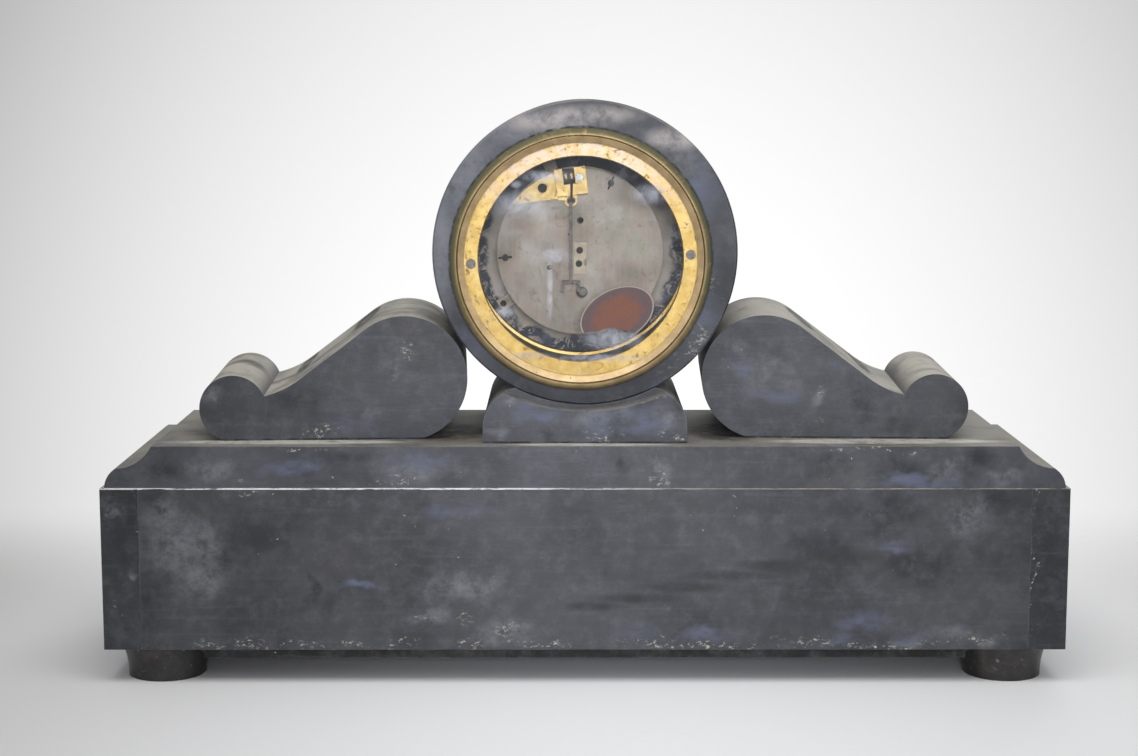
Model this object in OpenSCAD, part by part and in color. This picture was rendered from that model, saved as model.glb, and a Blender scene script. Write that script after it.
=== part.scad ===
// A slate mantel clock: a moulded slate base, two scroll consoles and a drum on a saddle.
// The clock stands on z = 0, its dial faces -Y and its glazed back faces +Y.
// The timepiece movement is pinned together between two round plates inside the drum.

/* [Base] */
// Length of the base from end to end
base_w = 497; // [470:1:520]
// Depth of the base from front to back
base_d = 151; // [148:1:165]
// Height of the base's upright slabs
base_h = 84.5; // [60:0.5:110]
// Thickness of the front and back slabs
panel_t = 15; // [10:1:20]
// Thickness of the end slabs
end_t = 19.5; // [12:0.5:26]
// Thickness of the board that closes the base from below
board_t = 5; // [4:0.5:7]
// How far the board stands in from the front and back slabs' outer faces
board_inset = 3; // [1:0.5:8]
// How far the board's tongues, let into the feet, stand in from the slabs' outer faces
tongue_inset = 14; // [12:0.5:16]

/* [Feet] */
// Height of a foot
foot_h = 18; // [15:0.5:25]
// Diameter of a foot at its top
foot_top_d = 46; // [42:0.5:52]
// Diameter of a foot where it stands
foot_low_d = 40; // [34:0.5:41]
// Height of the plain band at the foot's top and of the one at its bottom
foot_band_h = 1.2; // [0.6:0.2:2]
// How far a foot's edge stands in from the base's end
foot_end_gap = 5; // [3:0.5:12]
// How far a foot's edge stands in from the base's front or back
foot_side_gap = 0.5; // [0.5:0.5:6]
// Diameter of the screw that holds a foot
foot_screw_d = 4; // [3:0.5:6]

/* [Plinth] */
// Thickness of the moulded plinth slab
plinth_t = 22; // [19:0.5:28]
// Ledge of the base left bare round the plinth
plinth_ledge = 2.5; // [1:0.5:5]
// Width of the hollow moulding
cove_w = 18.4; // [14:0.2:22]
// Width of the round moulding below it
ovolo_w = 6.1; // [4:0.1:8]
// Height of the round moulding
ovolo_h = 10.6; // [8:0.2:13]

/* [Scrolls] */
// Gap between the drum and a scroll's large lobe
scroll_gap = 2.9; // [1:0.1:6]
// Radius of the large lobe
lobe_r = 32.6; // [30:0.1:34]
// Height of the large lobe's centre above the plinth
lobe_z = 31.8; // [28:0.1:32]
// Distance from the large lobe's centre out to the centre of the small curl
curl_reach = 88.8; // [86:0.1:95]
// Radius of the small curl
curl_r = 17.2; // [15:0.1:19]
// Height of the small curl's centre above the plinth
curl_z = 16.8; // [14:0.1:18]
// Fall of the straight slope between them, in degrees
slope_a = 37; // [34:0.5:39]
// Length of the straight slope
slope_l = 43; // [38:0.5:46]
// Where the slope meets the small curl, in degrees round the curl
notch_a = 158.5; // [154:0.5:164]
// Depth of a scroll from front to back
scroll_d = 97; // [80:1:98]
// How far the right scroll's large lobe stands in from the base's back
right_scroll_inset = 22.4; // [16:0.2:24]
// How far the left scroll's large lobe stands in from the base's back
left_scroll_inset = 27; // [12:0.5:27]
// Turn of the right scroll, whose front end was set outward, in degrees
right_scroll_turn = 3; // [0:0.5:4]
// Turn of the left scroll, whose front end was set outward too, in degrees
left_scroll_turn = 2.5; // [0:0.5:4]

/* [Drum] */
// Radius of the drum
drum_r = 78.5; // [72:0.5:88]
// Length of the drum
drum_l = 101.5; // [100:0.5:103]
// How far the drum's back stands in from the base's back
drum_inset = 20; // [18:0.5:24]
// Thickness of the drum's wall, from its outside to the bore that holds the movement
drum_wall = 17.5; // [16:0.5:19]
// How far the bore's axis lies below the drum's axis
bore_drop = 3; // [0:0.5:5]
// How far the bore's axis lies beside the drum's axis, to the right seen from the dial
dial_x = 2.2; // [0:0.1:3]
// Rounding of the drum's edges
drum_edge = 1; // [0.5:0.1:2]
// Diameter of the iron bolt that holds the drum down
bolt_d = 8; // [6:0.5:10]
// Distance of the bolt in front of the drum's back
bolt_inset = 35; // [25:1:45]

/* [Saddle] */
// Width of the saddle, as a part of the drum's diameter
saddle_wide = 0.67; // [0.65:0.01:0.71]
// Thickness of the saddle in its middle, where the drum rests
seat_h = 18.5; // [15:0.5:24]
// Rise of the saddle's shoulders above that
shoulder_rise = 9; // [7:0.5:10]
// Radius of the saddle's rounded shoulders
shoulder_r = 19; // [14:0.5:20]
// How far the saddle's back stands in from the base's back
saddle_inset = 9.5; // [6:0.5:14]
// Depth of the saddle from front to back
saddle_d = 112; // [105:1:114]
// How far the hollowed ledge behind the drum lies below the seat
ledge_drop = 1.7; // [1:0.1:4]
// Radius of the hollowed ledge
ledge_r = 103; // [90:1:120]

/* [Dial and front door] */
// How far the fixed front ring's flange reaches out past the bore
front_flange_w = 8; // [6:0.5:9]
// Thickness of that flange
flange_t = 1.5; // [1:0.1:2]
// Length of the collar that runs into the drum from either end
collar_l = 12; // [9:0.5:13]
// Wall of the collars
collar_t = 1.5; // [1:0.1:1.8]
// Thickness of the brass plate that carries the dial
dial_plate_t = 1.6; // [1.2:0.1:2]
// Margin of that plate left bare round the dial
dial_margin = 0.8; // [0.4:0.1:1.5]
// Thickness of the dial
dial_t = 1.8; // [1.4:0.1:2.2]
// Width of the fixed ring's lip, which covers the dial's edge
sight_lip = 4.3; // [3.6:0.1:6]
// Depth of the front door's brass ring
door_d = 6; // [5:0.5:7]
// How far the front door's ring stands out past the fixed ring
door_overhang = 0.5; // [0:0.1:0.8]
// Thickness of either glass
glass_t = 1.8; // [1.4:0.1:2.2]
// Diameter of the front door's hinge pin
hinge_pin_d = 1.6; // [1.2:0.1:2]
// Height of the front door's hinge
hinge_h = 16; // [12:1:20]
// Hour that the hands show
shown_hour = 10; // [1:1:12]
// Minutes past that hour
shown_minute = 9; // [0:1:59]
// Length of the hour hand, as a part of the dial's radius
hour_reach = 0.5; // [0.4:0.01:0.56]
// Length of the minute hand, as a part of the dial's radius
minute_reach = 0.76; // [0.66:0.01:0.86]

/* [Back door] */
// Width of the gilt ring behind the back glass
gilt_w = 8.3; // [7.6:0.1:9.5]
// How far the fixed back ring's flange reaches out past the bore
back_flange_w = 4.4; // [3.6:0.1:6]
// Height of the rim over which the back door is pushed
back_rim_h = 4; // [3:0.2:4.4]
// Wall of the back door's skirt, which grips that rim
skirt_t = 1.8; // [1.4:0.1:2.6]
// Height of the back door over the drum's back face
back_door_h = 6.4; // [6:0.1:8]
// How far the back door's ring reaches in over the bore
back_sight_w = 1.1; // [0.6:0.1:2]
// How far the two clamp screws sit in from the bore
clamp_in = 4.5; // [4:0.1:5.2]
// Turn of the line through the clamp screws, in degrees
clamp_turn = 2.4; // [0:0.2:5]
// Diameter of a clamp screw
clamp_screw_d = 3; // [2.4:0.1:3.4]

/* [Movement] */
// Distance from the drum's back face to the movement's back plate
plate_inset = 53.5; // [50:0.5:55]
// Gap between the movement's round plates and the gilt ring's inner edge
plate_play = 7.8; // [6:0.1:9]
// Thickness of the plates
plate_t = 2.2; // [1.8:0.1:2.6]
// Clear height between the plates
plate_gap = 32; // [31:0.5:33]
// Distance of the pillars from the plates' edge
pillar_inset = 4.3; // [4:0.1:5]
// Diameter of a pillar's shank
pillar_d = 5; // [4:0.2:6]
// Diameter of an arbor between the plates
arbor_d = 2; // [1.6:0.1:2.4]
// Diameter of an arbor's pivot in the plates
pivot_d = 1; // [0.8:0.1:1.4]
// Running clearance of pivots and pins, on the radius
run_gap = 0.05; // [0.02:0.01:0.08]

/* [Train] */
// Teeth of the barrel's great wheel
great_z = 84; // [78:6:90]
// Leaves of the pinion that it drives
intermediate_pinion_z = 12; // [12:1:12]
// Teeth of the intermediate wheel
intermediate_z = 72; // [66:6:78]
// Leaves of the centre pinion
centre_pinion_z = 12; // [12:1:12]
// Teeth of the centre wheel
centre_z = 74; // [70:2:78]
// Teeth of the third wheel
third_z = 74; // [70:2:78]
// Leaves of the third and escape pinions
fine_pinion_z = 6; // [6:1:6]
// Teeth of the escape wheel
escape_z = 42; // [36:2:44]
// Teeth of the cannon pinion
cannon_z = 12; // [12:1:12]
// Teeth of the minute wheel
minute_z = 36; // [36:1:36]
// Leaves of the minute wheel's pinion
minute_pinion_z = 10; // [10:1:10]
// Teeth of the hour wheel
hour_z = 40; // [40:1:40]
// Width of the great wheel's rim outside the barrel's wall
great_rim = 1.8; // [1.4:0.1:2.6]
// Height of the barrel
barrel_h = 15; // [13:0.5:15.5]
// Diameter of the barrel arbor
barrel_arbor_d = 5; // [4.4:0.2:5.6]
// Side of the winding square
winding_square = 3.4; // [3:0.1:3.5]
// Teeth of the ratchet wheel
ratchet_z = 24; // [24:1:24]
// Radius of the ratchet wheel
ratchet_r = 7; // [6.5:0.1:7.4]

/* [Escapement and suspension] */
// Width of the suspension block, as a part of the plates' radius
block_wide = 0.37; // [0.34:0.01:0.39]
// Height of the suspension block, as a part of the plates' radius
block_high = 0.325; // [0.3:0.005:0.34]
// Lean of the block, since the movement is turned in the case to even its tick, in degrees
lean = 7.5; // [0:0.5:9]
// Thickness of the suspension block
block_t = 6; // [5:0.5:7]
// Thickness of the back cock
cock_t = 3; // [2.4:0.2:3.6]
// Width of the crutch's rod
crutch_w = 1.8; // [1.4:0.1:2.2]
// Length of the crutch from its arbor to the fork, as a part of the plates' radius
crutch_reach = 0.96; // [0.85:0.01:1.02]
// Width of the crutch's fork
fork_w = 10; // [8:0.5:11]

/* [Hidden] */

// Smoothness of the round shapes
$fn = 96;
// Overlap that keeps a cut from ending on a face
cut = 1;

slate = "#4a4b52";
dark_slate = "#3a3b42";
gilt = "#d9ae4e";
brass = "#a89468";
steel = "#7d7f84";
blued = "#232a4a";
enamel = "#f2efe6";
clear_glass = [0.8, 0.9, 0.9, 0.3];

// Heights of the case
base_z = foot_h;
board_z = base_z - board_t;
plinth_z = base_z + base_h;
top_z = plinth_z + plinth_t;
drum_z = top_z + seat_h + drum_r;
dial_z = drum_z - bore_drop;
saddle_w = saddle_wide * 2 * drum_r;
shoulder_h = seat_h + shoulder_rise;
ledge_h = seat_h - ledge_drop;

// Scrolls, close beside the drum
lobe_x = sqrt(pow(drum_r + lobe_r + scroll_gap, 2) - pow(seat_h + drum_r - lobe_z, 2));
curl_x = lobe_x + curl_reach;

// Places from front to back
base_back_y = base_d / 2;
plinth_w = base_w - 2 * plinth_ledge;
plinth_flat_w = plinth_w - 2 * (cove_w + ovolo_w);
plinth_front_y = -base_back_y + plinth_ledge;
plinth_flat_front_y = plinth_front_y + cove_w + ovolo_w;
drum_back_y = base_back_y - drum_inset;
drum_front_y = drum_back_y - drum_l;
plate_back_y = drum_back_y - plate_inset;
train_y = plate_back_y - plate_t;
front_plate_y = train_y - plate_gap;
motion_y = front_plate_y - plate_t;
bolt_y = drum_back_y - bolt_inset;

// Moulding of the plinth's ends and front
cove_h = plinth_t - ovolo_h;
cove_r = (pow(cove_w, 2) + pow(cove_h, 2)) / (2 * cove_h);
ovolo_r = (pow(ovolo_w, 2) + pow(ovolo_h, 2)) / (2 * ovolo_w);

// Fits of the fixed rings in the bore, and radii that follow from it
ring_gap = 0.2;
bore_r = drum_r - drum_wall;
collar_r = bore_r - ring_gap;
dial_plate_r = collar_r - collar_t - 0.3;
dial_r = dial_plate_r - dial_margin;
sight_r = collar_r - sight_lip;
front_flange_r = bore_r + front_flange_w;
door_r = front_flange_r + door_overhang;
gilt_r = collar_r - gilt_w;
back_flange_r = bore_r + back_flange_w;
back_door_r = back_flange_r + skirt_t;
back_sight_r = bore_r - back_sight_w;
clamp_r = bore_r - clamp_in;
plate_r = gilt_r - plate_play;
pillar_ring_r = plate_r - pillar_inset;
hour_l = hour_reach * dial_r;
minute_l = minute_reach * dial_r;

// Front stack, from the dial plate to the glass
dial_sink = 5.6;
dial_plate_y = drum_front_y + dial_sink;
dial_y = dial_plate_y - dial_plate_t;
dial_face_y = dial_y - dial_t;
front_flange_y = drum_front_y - flange_t;
door_gap = 0.2;
door_y = front_flange_y - door_gap;
door_lip_t = 1.8;
front_glass_y = door_y - door_d + door_lip_t;
front_glass_r = sight_r + 2.6;
knuckle_r = hinge_pin_d / 2 + 1.1;
hinge_x = dial_x + front_flange_r + knuckle_r + 0.9;
hinge_y = drum_front_y - knuckle_r - door_gap;

// Back stack, from the drum's back face outward
back_flange_t = 1.2;
rim_t = 1.2;
back_glass_r = back_sight_r + 2.4;
back_lip_t = 1.4;
back_glass_y = drum_back_y + back_door_h - back_lip_t - glass_t;
gilt_t = 1.2;
clamp_head_d = clamp_screw_d + 2;
clamp_head_h = 1.4;
strap_w = 9;
strap_t = 1.2;
strap_ear_t = 2;
strap_out_r = collar_r - collar_t;
rivet_d = 2;
rivet_y = drum_front_y + collar_l - 3;

// Places of the arbors in the plates, from the dial's centre: across, seen from the front, and up.
// They are given for plates of 44.7 mm radius and spread or close up with the plates.
layout = plate_r / 44.7;
centre_at = [0, 0];
barrel_at = layout * [-1.4, -21.8];
intermediate_at = layout * [16, -8.5];
third_at = layout * [6.1, 9.2];
escape_at = layout * [-0.4, 16.8];
pallet_at = layout * [5, 27.6];
minute_at = layout * [10.4, -3.2];
regulator_at = layout * [0.4, 40.2];
block_at = layout * [4.8, 38];
cock_screw_at = layout * [20.2, 34.2];
pillar_angles = [-4.5, 114.2, 227];
bracket_angles = [-37, 70, 241];
block_w = block_wide * plate_r;
block_h = block_high * plate_r;
crutch_l = crutch_reach * plate_r;

// Sizes of teeth, from the spacing of the arbors
great_m = 2 * norm(barrel_at - intermediate_at) / (great_z + intermediate_pinion_z);
intermediate_m = 2 * norm(intermediate_at - centre_at) / (intermediate_z + centre_pinion_z);
centre_m = 2 * norm(centre_at - third_at) / (centre_z + fine_pinion_z);
third_m = 2 * norm(third_at - escape_at) / (third_z + fine_pinion_z);
cannon_m = 2 * norm(minute_at - centre_at) / (cannon_z + minute_z);
hour_m = 2 * norm(minute_at - centre_at) / (hour_z + minute_pinion_z);
barrel_r = great_m * great_z / 2 - great_rim;
escape_r = 0.61 * norm(pallet_at - escape_at);

// Distances in front of the back plate's inner face at which the wheels run
pallet_s = 2.6;
intermediate_s = 5.6;
third_s = 8.4;
centre_s = 11.2;
great_s = 14.2;
wheel_t = 1;
great_t = 2;
escape_t = 1;

// Tooth shape: height above and below the pitch circle in modules, then widths in pitches
wheel_tooth = [0.9, 1.1, 0.40, 0.18, 0.50];
leaf = [0.5, 1.2, 0.36, 0.20, 0.30];

function spot(at) = [dial_x + at[0], 0, dial_z + at[1]];
function way(from, to) = atan2(to[1] - from[1], to[0] - from[0]);
function polar(r, a) = [r * cos(a), r * sin(a)];

// Extrudes an outline seen from the front back to front, starting at y
module slab_y(y, depth) {
    translate([0, y, 0])
        rotate([90, 0, 0])
            linear_extrude(depth) children();
}

// The same, with the outline's origin at an arbor
module at_arbor(at, y, depth) {
    translate(spot(at))
        slab_y(y, depth) children();
}

// Turns a section about an axis along Y; the section's x is the radius, its y runs backward from y
module turned(at, y) {
    translate(spot(at) + [0, y, 0])
        rotate([-90, 0, 0])
            rotate_extrude() children();
}

// A plain round bar along Y, from y toward the front
module bar(at, y, length, d) {
    translate(spot(at) + [0, y, 0])
        rotate([90, 0, 0])
            cylinder(h = length, d = d, $fn = 32);
}

// Outline of a toothed wheel with its first tooth at angle turn
module teeth(z, m, shape, turn) {
    r = m * z / 2;
    corners = [
        [r - shape[1] * m, -shape[4]], [r, -shape[2]], [r + shape[0] * m, -shape[3]],
        [r + shape[0] * m, shape[3]], [r, shape[2]], [r - shape[1] * m, shape[4]]];
    polygon([for (i = [0:z - 1]) for (c = corners) polar(c[0], turn + (i + c[1] / 2) * 360 / z)]);
}

// A wheel cut away between its rim and hub, leaving crossings
module crossings(inner, outer, count, spoke) {
    difference() {
        circle(r = outer);
        circle(r = inner);
        for (i = [0:count - 1])
            rotate(i * 360 / count)
                translate([0, -spoke / 2]) square([outer + cut, spoke]);
    }
}

// Base slabs

module base_front_slab() {
    color(slate)
        translate([-base_w / 2, -base_back_y, base_z])
            cube([base_w, panel_t, base_h]);
}

module base_back_slab() {
    inner_w = base_w - 2 * end_t;
    color(slate)
        translate([-inner_w / 2, base_back_y - panel_t, base_z])
            cube([inner_w, panel_t, base_h]);
}

module base_end_slab(side) {
    x = side > 0 ? base_w / 2 - end_t : -base_w / 2;
    color(slate)
        translate([x, -base_back_y + panel_t, base_z])
            cube([end_t, base_d - panel_t, base_h]);
}

module base_left_slab() { base_end_slab(-1); }
module base_right_slab() { base_end_slab(1); }

// The board is wide between the feet and narrower beyond, where its tongues are let into them
board_gap = 0.2;
foot_x = base_w / 2 - foot_end_gap - foot_top_d / 2;
foot_y = base_back_y - foot_side_gap - foot_top_d / 2;

module slab_z(half_w, half_d, z, h) {
    translate([-half_w, -half_d, z]) cube([2 * half_w, 2 * half_d, h]);
}

module base_board() {
    wide = foot_x - foot_top_d / 2 - board_gap;
    color(dark_slate)
        difference() {
            union() {
                slab_z(wide, base_back_y - board_inset, board_z, board_t);
                slab_z(base_w / 2 - tongue_inset, base_back_y - tongue_inset, board_z, board_t);
            }
            at_feet() translate([0, 0, board_z - cut]) cylinder(h = board_t + 2 * cut, d = foot_screw_d);
        }
}

// Feet

module at_foot(side, end) {
    translate([side * foot_x, end * foot_y, 0]) children();
}

module at_feet() {
    for (side = [-1, 1]) for (end = [-1, 1]) at_foot(side, end) children();
}

foot_head_h = 3;
foot_head_sink = 1;

module foot(side, end) {
    dx = (foot_top_d - foot_low_d) / 2;
    dz = foot_h - 2 * foot_band_h;
    hollow_r = (pow(dx, 2) + pow(dz, 2)) / (2 * dx);
    tongue = tongue_inset - board_gap;
    color(dark_slate)
        difference() {
            at_foot(side, end)
                difference() {
                    rotate_extrude()
                        difference() {
                            square([foot_top_d / 2, foot_h]);
                            translate([foot_low_d / 2, -cut]) square([foot_top_d, foot_band_h + cut]);
                            translate([foot_low_d / 2 + hollow_r, foot_band_h])
                                circle(r = hollow_r, $fn = 180);
                        }
                    translate([0, 0, -cut]) {
                        cylinder(h = foot_h + 2 * cut, d = foot_screw_d);
                        cylinder(h = cut + foot_head_sink + foot_head_h, d = 2.2 * foot_screw_d);
                    }
                }
            slab_z(base_w / 2 - tongue, base_back_y - tongue, board_z, board_t + cut);
        }
}

module foot_front_left() { foot(-1, -1); }
module foot_front_right() { foot(1, -1); }
module foot_back_left() { foot(-1, 1); }
module foot_back_right() { foot(1, 1); }

module foot_screws() {
    color(steel)
        at_feet()
            difference() {
                union() {
                    translate([0, 0, foot_head_sink]) cylinder(h = foot_head_h, d = 2 * foot_screw_d);
                    translate([0, 0, foot_head_sink]) cylinder(h = base_z - foot_head_sink, d = foot_screw_d);
                }
                translate([-foot_screw_d, -0.5, 0]) cube([2 * foot_screw_d, 1, foot_head_sink + 1]);
            }
}

// Plinth with a hollow and a round moulding along its ends and front

// Moulded end of a section, from the flat top's edge at x = 0 out to the bottom edge
module moulded_end() {
    difference() {
        intersection() {
            translate([-cut, 0]) square([cove_w + ovolo_w + 2 * cut, plinth_t]);
            union() {
                translate([-cut, 0]) square([cove_w, plinth_t]);
                translate([cove_w + ovolo_w - ovolo_r, 0]) circle(r = ovolo_r);
            }
        }
        translate([cove_w, ovolo_h + cove_r]) circle(r = cove_r, $fn = 180);
    }
}

module plinth() {
    color(slate)
        translate([0, 0, plinth_z])
            difference() {
                intersection() {
                    slab_y(base_back_y + cut, base_d + 2 * cut) {
                        translate([-plinth_flat_w / 2, 0]) square([plinth_flat_w, plinth_t]);
                        for (side = [0, 1])
                            mirror([side, 0])
                                translate([plinth_flat_w / 2, 0]) moulded_end();
                    }
                    translate([-plinth_w / 2 - cut, 0, 0])
                        rotate([90, 0, 90])
                            linear_extrude(plinth_w + 2 * cut) {
                                translate([plinth_flat_front_y, 0])
                                    square([base_back_y - plinth_flat_front_y, plinth_t]);
                                translate([plinth_flat_front_y, 0]) mirror([1, 0]) moulded_end();
                            }
                }
                translate([0, bolt_y, -cut]) cylinder(h = plinth_t + 2 * cut, d = bolt_d + 2 * ring_gap);
            }
}

// Scroll consoles

module scroll_outline() {
    lobe = [lobe_x, lobe_z];
    curl = [curl_x, curl_z];
    hair = 0.02;
    slope_top = lobe + polar(lobe_r - hair, 90 - slope_a);
    slope_end = slope_top + polar(slope_l, -slope_a);
    notch = curl + polar(curl_r, notch_a);
    normal = polar(1, 90 - slope_a);
    step = notch - slope_end;
    sweep_r = (step * step) / (2 * (step * normal));
    intersection() {
        union() {
            translate(lobe) circle(r = lobe_r, $fn = 180);
            translate(curl) circle(r = curl_r);
            difference() {
                polygon([slope_top, slope_end, notch + [2, 0], curl, [curl_x, 0], [lobe_x, 0], lobe]);
                translate(slope_end + sweep_r * normal) circle(r = sweep_r + hair, $fn = 240);
            }
        }
        square([curl_x + 2 * curl_r, 3 * lobe_r]);
    }
}

module scroll(side, inset, turn) {
    pivot = [side * lobe_x, base_back_y - inset, top_z];
    color(slate)
        translate(pivot)
            rotate([0, 0, turn])
                translate([-pivot[0], 0, 0])
                    slab_y(0, scroll_d)
                        mirror([side < 0 ? 1 : 0, 0]) scroll_outline();
}

module scroll_left() { scroll(-1, left_scroll_inset, -left_scroll_turn); }
module scroll_right() { scroll(1, right_scroll_inset, right_scroll_turn); }

// Saddle and drum

module saddle() {
    ledge_d = drum_inset - saddle_inset;
    color(slate)
        difference() {
            translate([0, 0, top_z])
                slab_y(base_back_y - saddle_inset, saddle_d) {
                    translate([-saddle_w / 2, 0]) square([saddle_w, shoulder_h - shoulder_r]);
                    intersection() {
                        translate([-saddle_w / 2, 0]) square([saddle_w, shoulder_h]);
                        for (side = [-1, 1])
                            translate([side * (saddle_w / 2 - shoulder_r), shoulder_h - shoulder_r])
                                circle(r = shoulder_r);
                    }
                    translate([shoulder_r - saddle_w / 2, 0])
                        square([saddle_w - 2 * shoulder_r, shoulder_h]);
                }
            translate([0, 0, drum_z])
                slab_y(drum_back_y, drum_l + saddle_d) circle(r = drum_r, $fn = 240);
            translate([0, 0, top_z + ledge_h + ledge_r])
                slab_y(drum_back_y + ledge_d + cut, ledge_d + cut) circle(r = ledge_r, $fn = 240);
            translate([0, bolt_y, top_z - cut]) cylinder(h = drum_r, d = bolt_d + 2 * ring_gap);
        }
}

bolt_seat_z = dial_z - bore_r - 0.5;
bolt_head_r = bolt_d;
bolt_head_h = 4;
nut_h = 7;

module drum() {
    color(slate)
        difference() {
            translate([0, drum_back_y, drum_z])
                rotate([90, 0, 0])
                    rotate_extrude($fn = 240)
                        difference() {
                            square([drum_r, drum_l]);
                            for (end = [0, drum_l])
                                translate([drum_r, end])
                                    rotate(45) square(drum_edge * sqrt(2), center = true);
                        }
            translate(spot(centre_at))
                slab_y(drum_back_y + cut, drum_l + 2 * cut) circle(r = bore_r, $fn = 240);
            translate([0, bolt_y, bolt_seat_z]) cylinder(h = bore_r, r = bolt_head_r + 1);
            translate([0, bolt_y, drum_z - drum_r - cut]) cylinder(h = drum_r, d = bolt_d + 2 * ring_gap);
        }
}

module drum_bolt() {
    low_z = plinth_z - nut_h - 3;
    color(steel)
        translate([0, bolt_y, 0])
            union() {
                translate([0, 0, low_z]) cylinder(h = bolt_seat_z + 1 - low_z, d = bolt_d);
                translate([0, 0, bolt_seat_z]) cylinder(h = bolt_head_h, r = bolt_head_r, $fn = 6);
            }
}

module drum_nut() {
    color(steel)
        translate([0, bolt_y, plinth_z - nut_h])
            difference() {
                union() {
                    cylinder(h = nut_h, r = bolt_d * 0.95, $fn = 6);
                    translate([0, 0, nut_h - 1.5]) cylinder(h = 1.5, r = 1.6 * bolt_d);
                }
                translate([0, 0, -cut]) cylinder(h = nut_h + 2 * cut, d = bolt_d);
            }
}

// Front ring, dial and door

door_knuckle_h = hinge_h / 2;
knuckle_gap = 0.15;

module hinge_knuckle(z, h) {
    translate([hinge_x, hinge_y, dial_z + z]) cylinder(h = h, r = knuckle_r, $fn = 48);
}

module hinge_bore() {
    translate([hinge_x, hinge_y, dial_z - hinge_h])
        cylinder(h = 2 * hinge_h, d = hinge_pin_d + 2 * run_gap, $fn = 48);
}

// Holes through either collar for the rivets of the straps
module rivet_shape(length) {
    at_clamps()
        translate([strap_out_r, rivet_y, 0])
            rotate([0, 90, 0]) cylinder(h = length, d = rivet_d, center = true, $fn = 32);
}

module front_ring() {
    lug_x = dial_x + front_flange_r - 3;
    lug_h = (hinge_h - door_knuckle_h) / 2 - knuckle_gap;
    lip_h = dial_face_y - drum_front_y;
    color(gilt)
        difference() {
            union() {
                turned(centre_at, drum_front_y) {
                    translate([sight_r, -flange_t]) square([front_flange_r - sight_r, flange_t]);
                    translate([sight_r, -flange_t]) square([collar_r - sight_r, flange_t + lip_h]);
                    translate([collar_r - collar_t, 0]) square([collar_t, collar_l]);
                }
                for (z = [-hinge_h / 2, hinge_h / 2 - lug_h]) {
                    hinge_knuckle(z, lug_h);
                    translate([lug_x, front_flange_y, dial_z + z])
                        cube([hinge_x - lug_x, flange_t, lug_h]);
                }
            }
            hinge_bore();
            rivet_shape(2 * strap_w);
        }
}

module dial_plate() {
    color(brass)
        difference() {
            turned(centre_at, dial_y) square([dial_plate_r, dial_plate_t]);
            bar(centre_at, dial_plate_y + cut, dial_plate_t + 2 * cut, 2 * hour_pipe_r + 1);
            bar(barrel_at, dial_plate_y + cut, dial_plate_t + 2 * cut, barrel_arbor_d + 1.6);
            bar(regulator_at, dial_plate_y + cut, dial_plate_t + 2 * cut, arbor_d + 1);
        }
}

module dial() {
    color(enamel)
        difference() {
            turned(centre_at, dial_face_y) square([dial_r, dial_t]);
            bar(centre_at, dial_y + cut, dial_t + 2 * cut, 2 * hour_pipe_r + 1);
            bar(barrel_at, dial_y + cut, dial_t + 2 * cut, barrel_arbor_d + 1.6);
            bar(regulator_at, dial_y + cut, dial_t + 2 * cut, arbor_d + 1);
        }
}

module front_door_ring() {
    seat_r = front_glass_r + ring_gap;
    round_r = door_d / 2;
    bevel = 1.4;
    knuckle_h = door_knuckle_h - 2 * knuckle_gap;
    step_r = door_r - round_r;
    lug_x = dial_x + step_r;
    color(gilt)
        difference() {
            union() {
                turned(centre_at, door_y)
                    difference() {
                        union() {
                            translate([sight_r, -door_d]) square([step_r - sight_r, door_d]);
                            translate([sight_r, -round_r]) square([door_r - sight_r, round_r]);
                            translate([step_r, -round_r]) circle(r = round_r);
                        }
                        translate([sight_r - cut, front_glass_y - door_y])
                            square([seat_r - sight_r + cut, door_d]);
                        translate([sight_r, -door_d]) rotate(45) square(bevel, center = true);
                    }
                hinge_knuckle(-knuckle_h / 2, knuckle_h);
                translate([lug_x, door_y - flange_t, dial_z - knuckle_h / 2])
                    cube([hinge_x - lug_x, flange_t, knuckle_h]);
            }
            hinge_bore();
        }
}

module front_glass() {
    color(clear_glass)
        turned(centre_at, front_glass_y) square([front_glass_r, glass_t]);
}

module front_hinge_pin() {
    color(brass)
        translate([hinge_x, hinge_y, dial_z - hinge_h / 2 - 1])
            cylinder(h = hinge_h + 2, d = hinge_pin_d, $fn = 48);
}

// Hands and the wheels under the dial

hour_pipe_r = 3.2;
cannon_r = 1.9;
hand_seat_r = 1.6;
hour_hand_y = dial_face_y - 1.4;
minute_hand_y = hour_hand_y - 1.7;
hand_t = 0.6;
nut_t = 1.2;
hand_nut_r = 2.6;
stem_d = 1.8;
stud_d = 1.2;

// A Breguet-style hand: a tapered bar with an open moon near its tip
module hand_outline(length, moon_r, hub_r, bore) {
    moon = length * 0.72;
    tip = moon + moon_r - 0.4;
    difference() {
        union() {
            circle(r = hub_r, $fn = 48);
            polygon([[-1, 0], [1, 0], [0.6, moon], [-0.6, moon]]);
            translate([0, moon]) circle(r = moon_r, $fn = 48);
            polygon([[-0.8, tip], [0.8, tip], [0.12, length], [-0.12, length]]);
        }
        translate([moon_r * 0.18, moon]) circle(r = moon_r * 0.68, $fn = 48);
        circle(r = bore, $fn = 48);
    }
}

module hour_hand() {
    color(blued)
        at_arbor(centre_at, hour_hand_y, hand_t)
            rotate(-30 * (shown_hour + shown_minute / 60)) hand_outline(hour_l, 3.6, 4.6, hour_pipe_r);
}

module minute_hand() {
    color(blued)
        at_arbor(centre_at, minute_hand_y, hand_t)
            rotate(-6 * shown_minute) hand_outline(minute_l, 3.2, 3.6, hand_seat_r);
}

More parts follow.
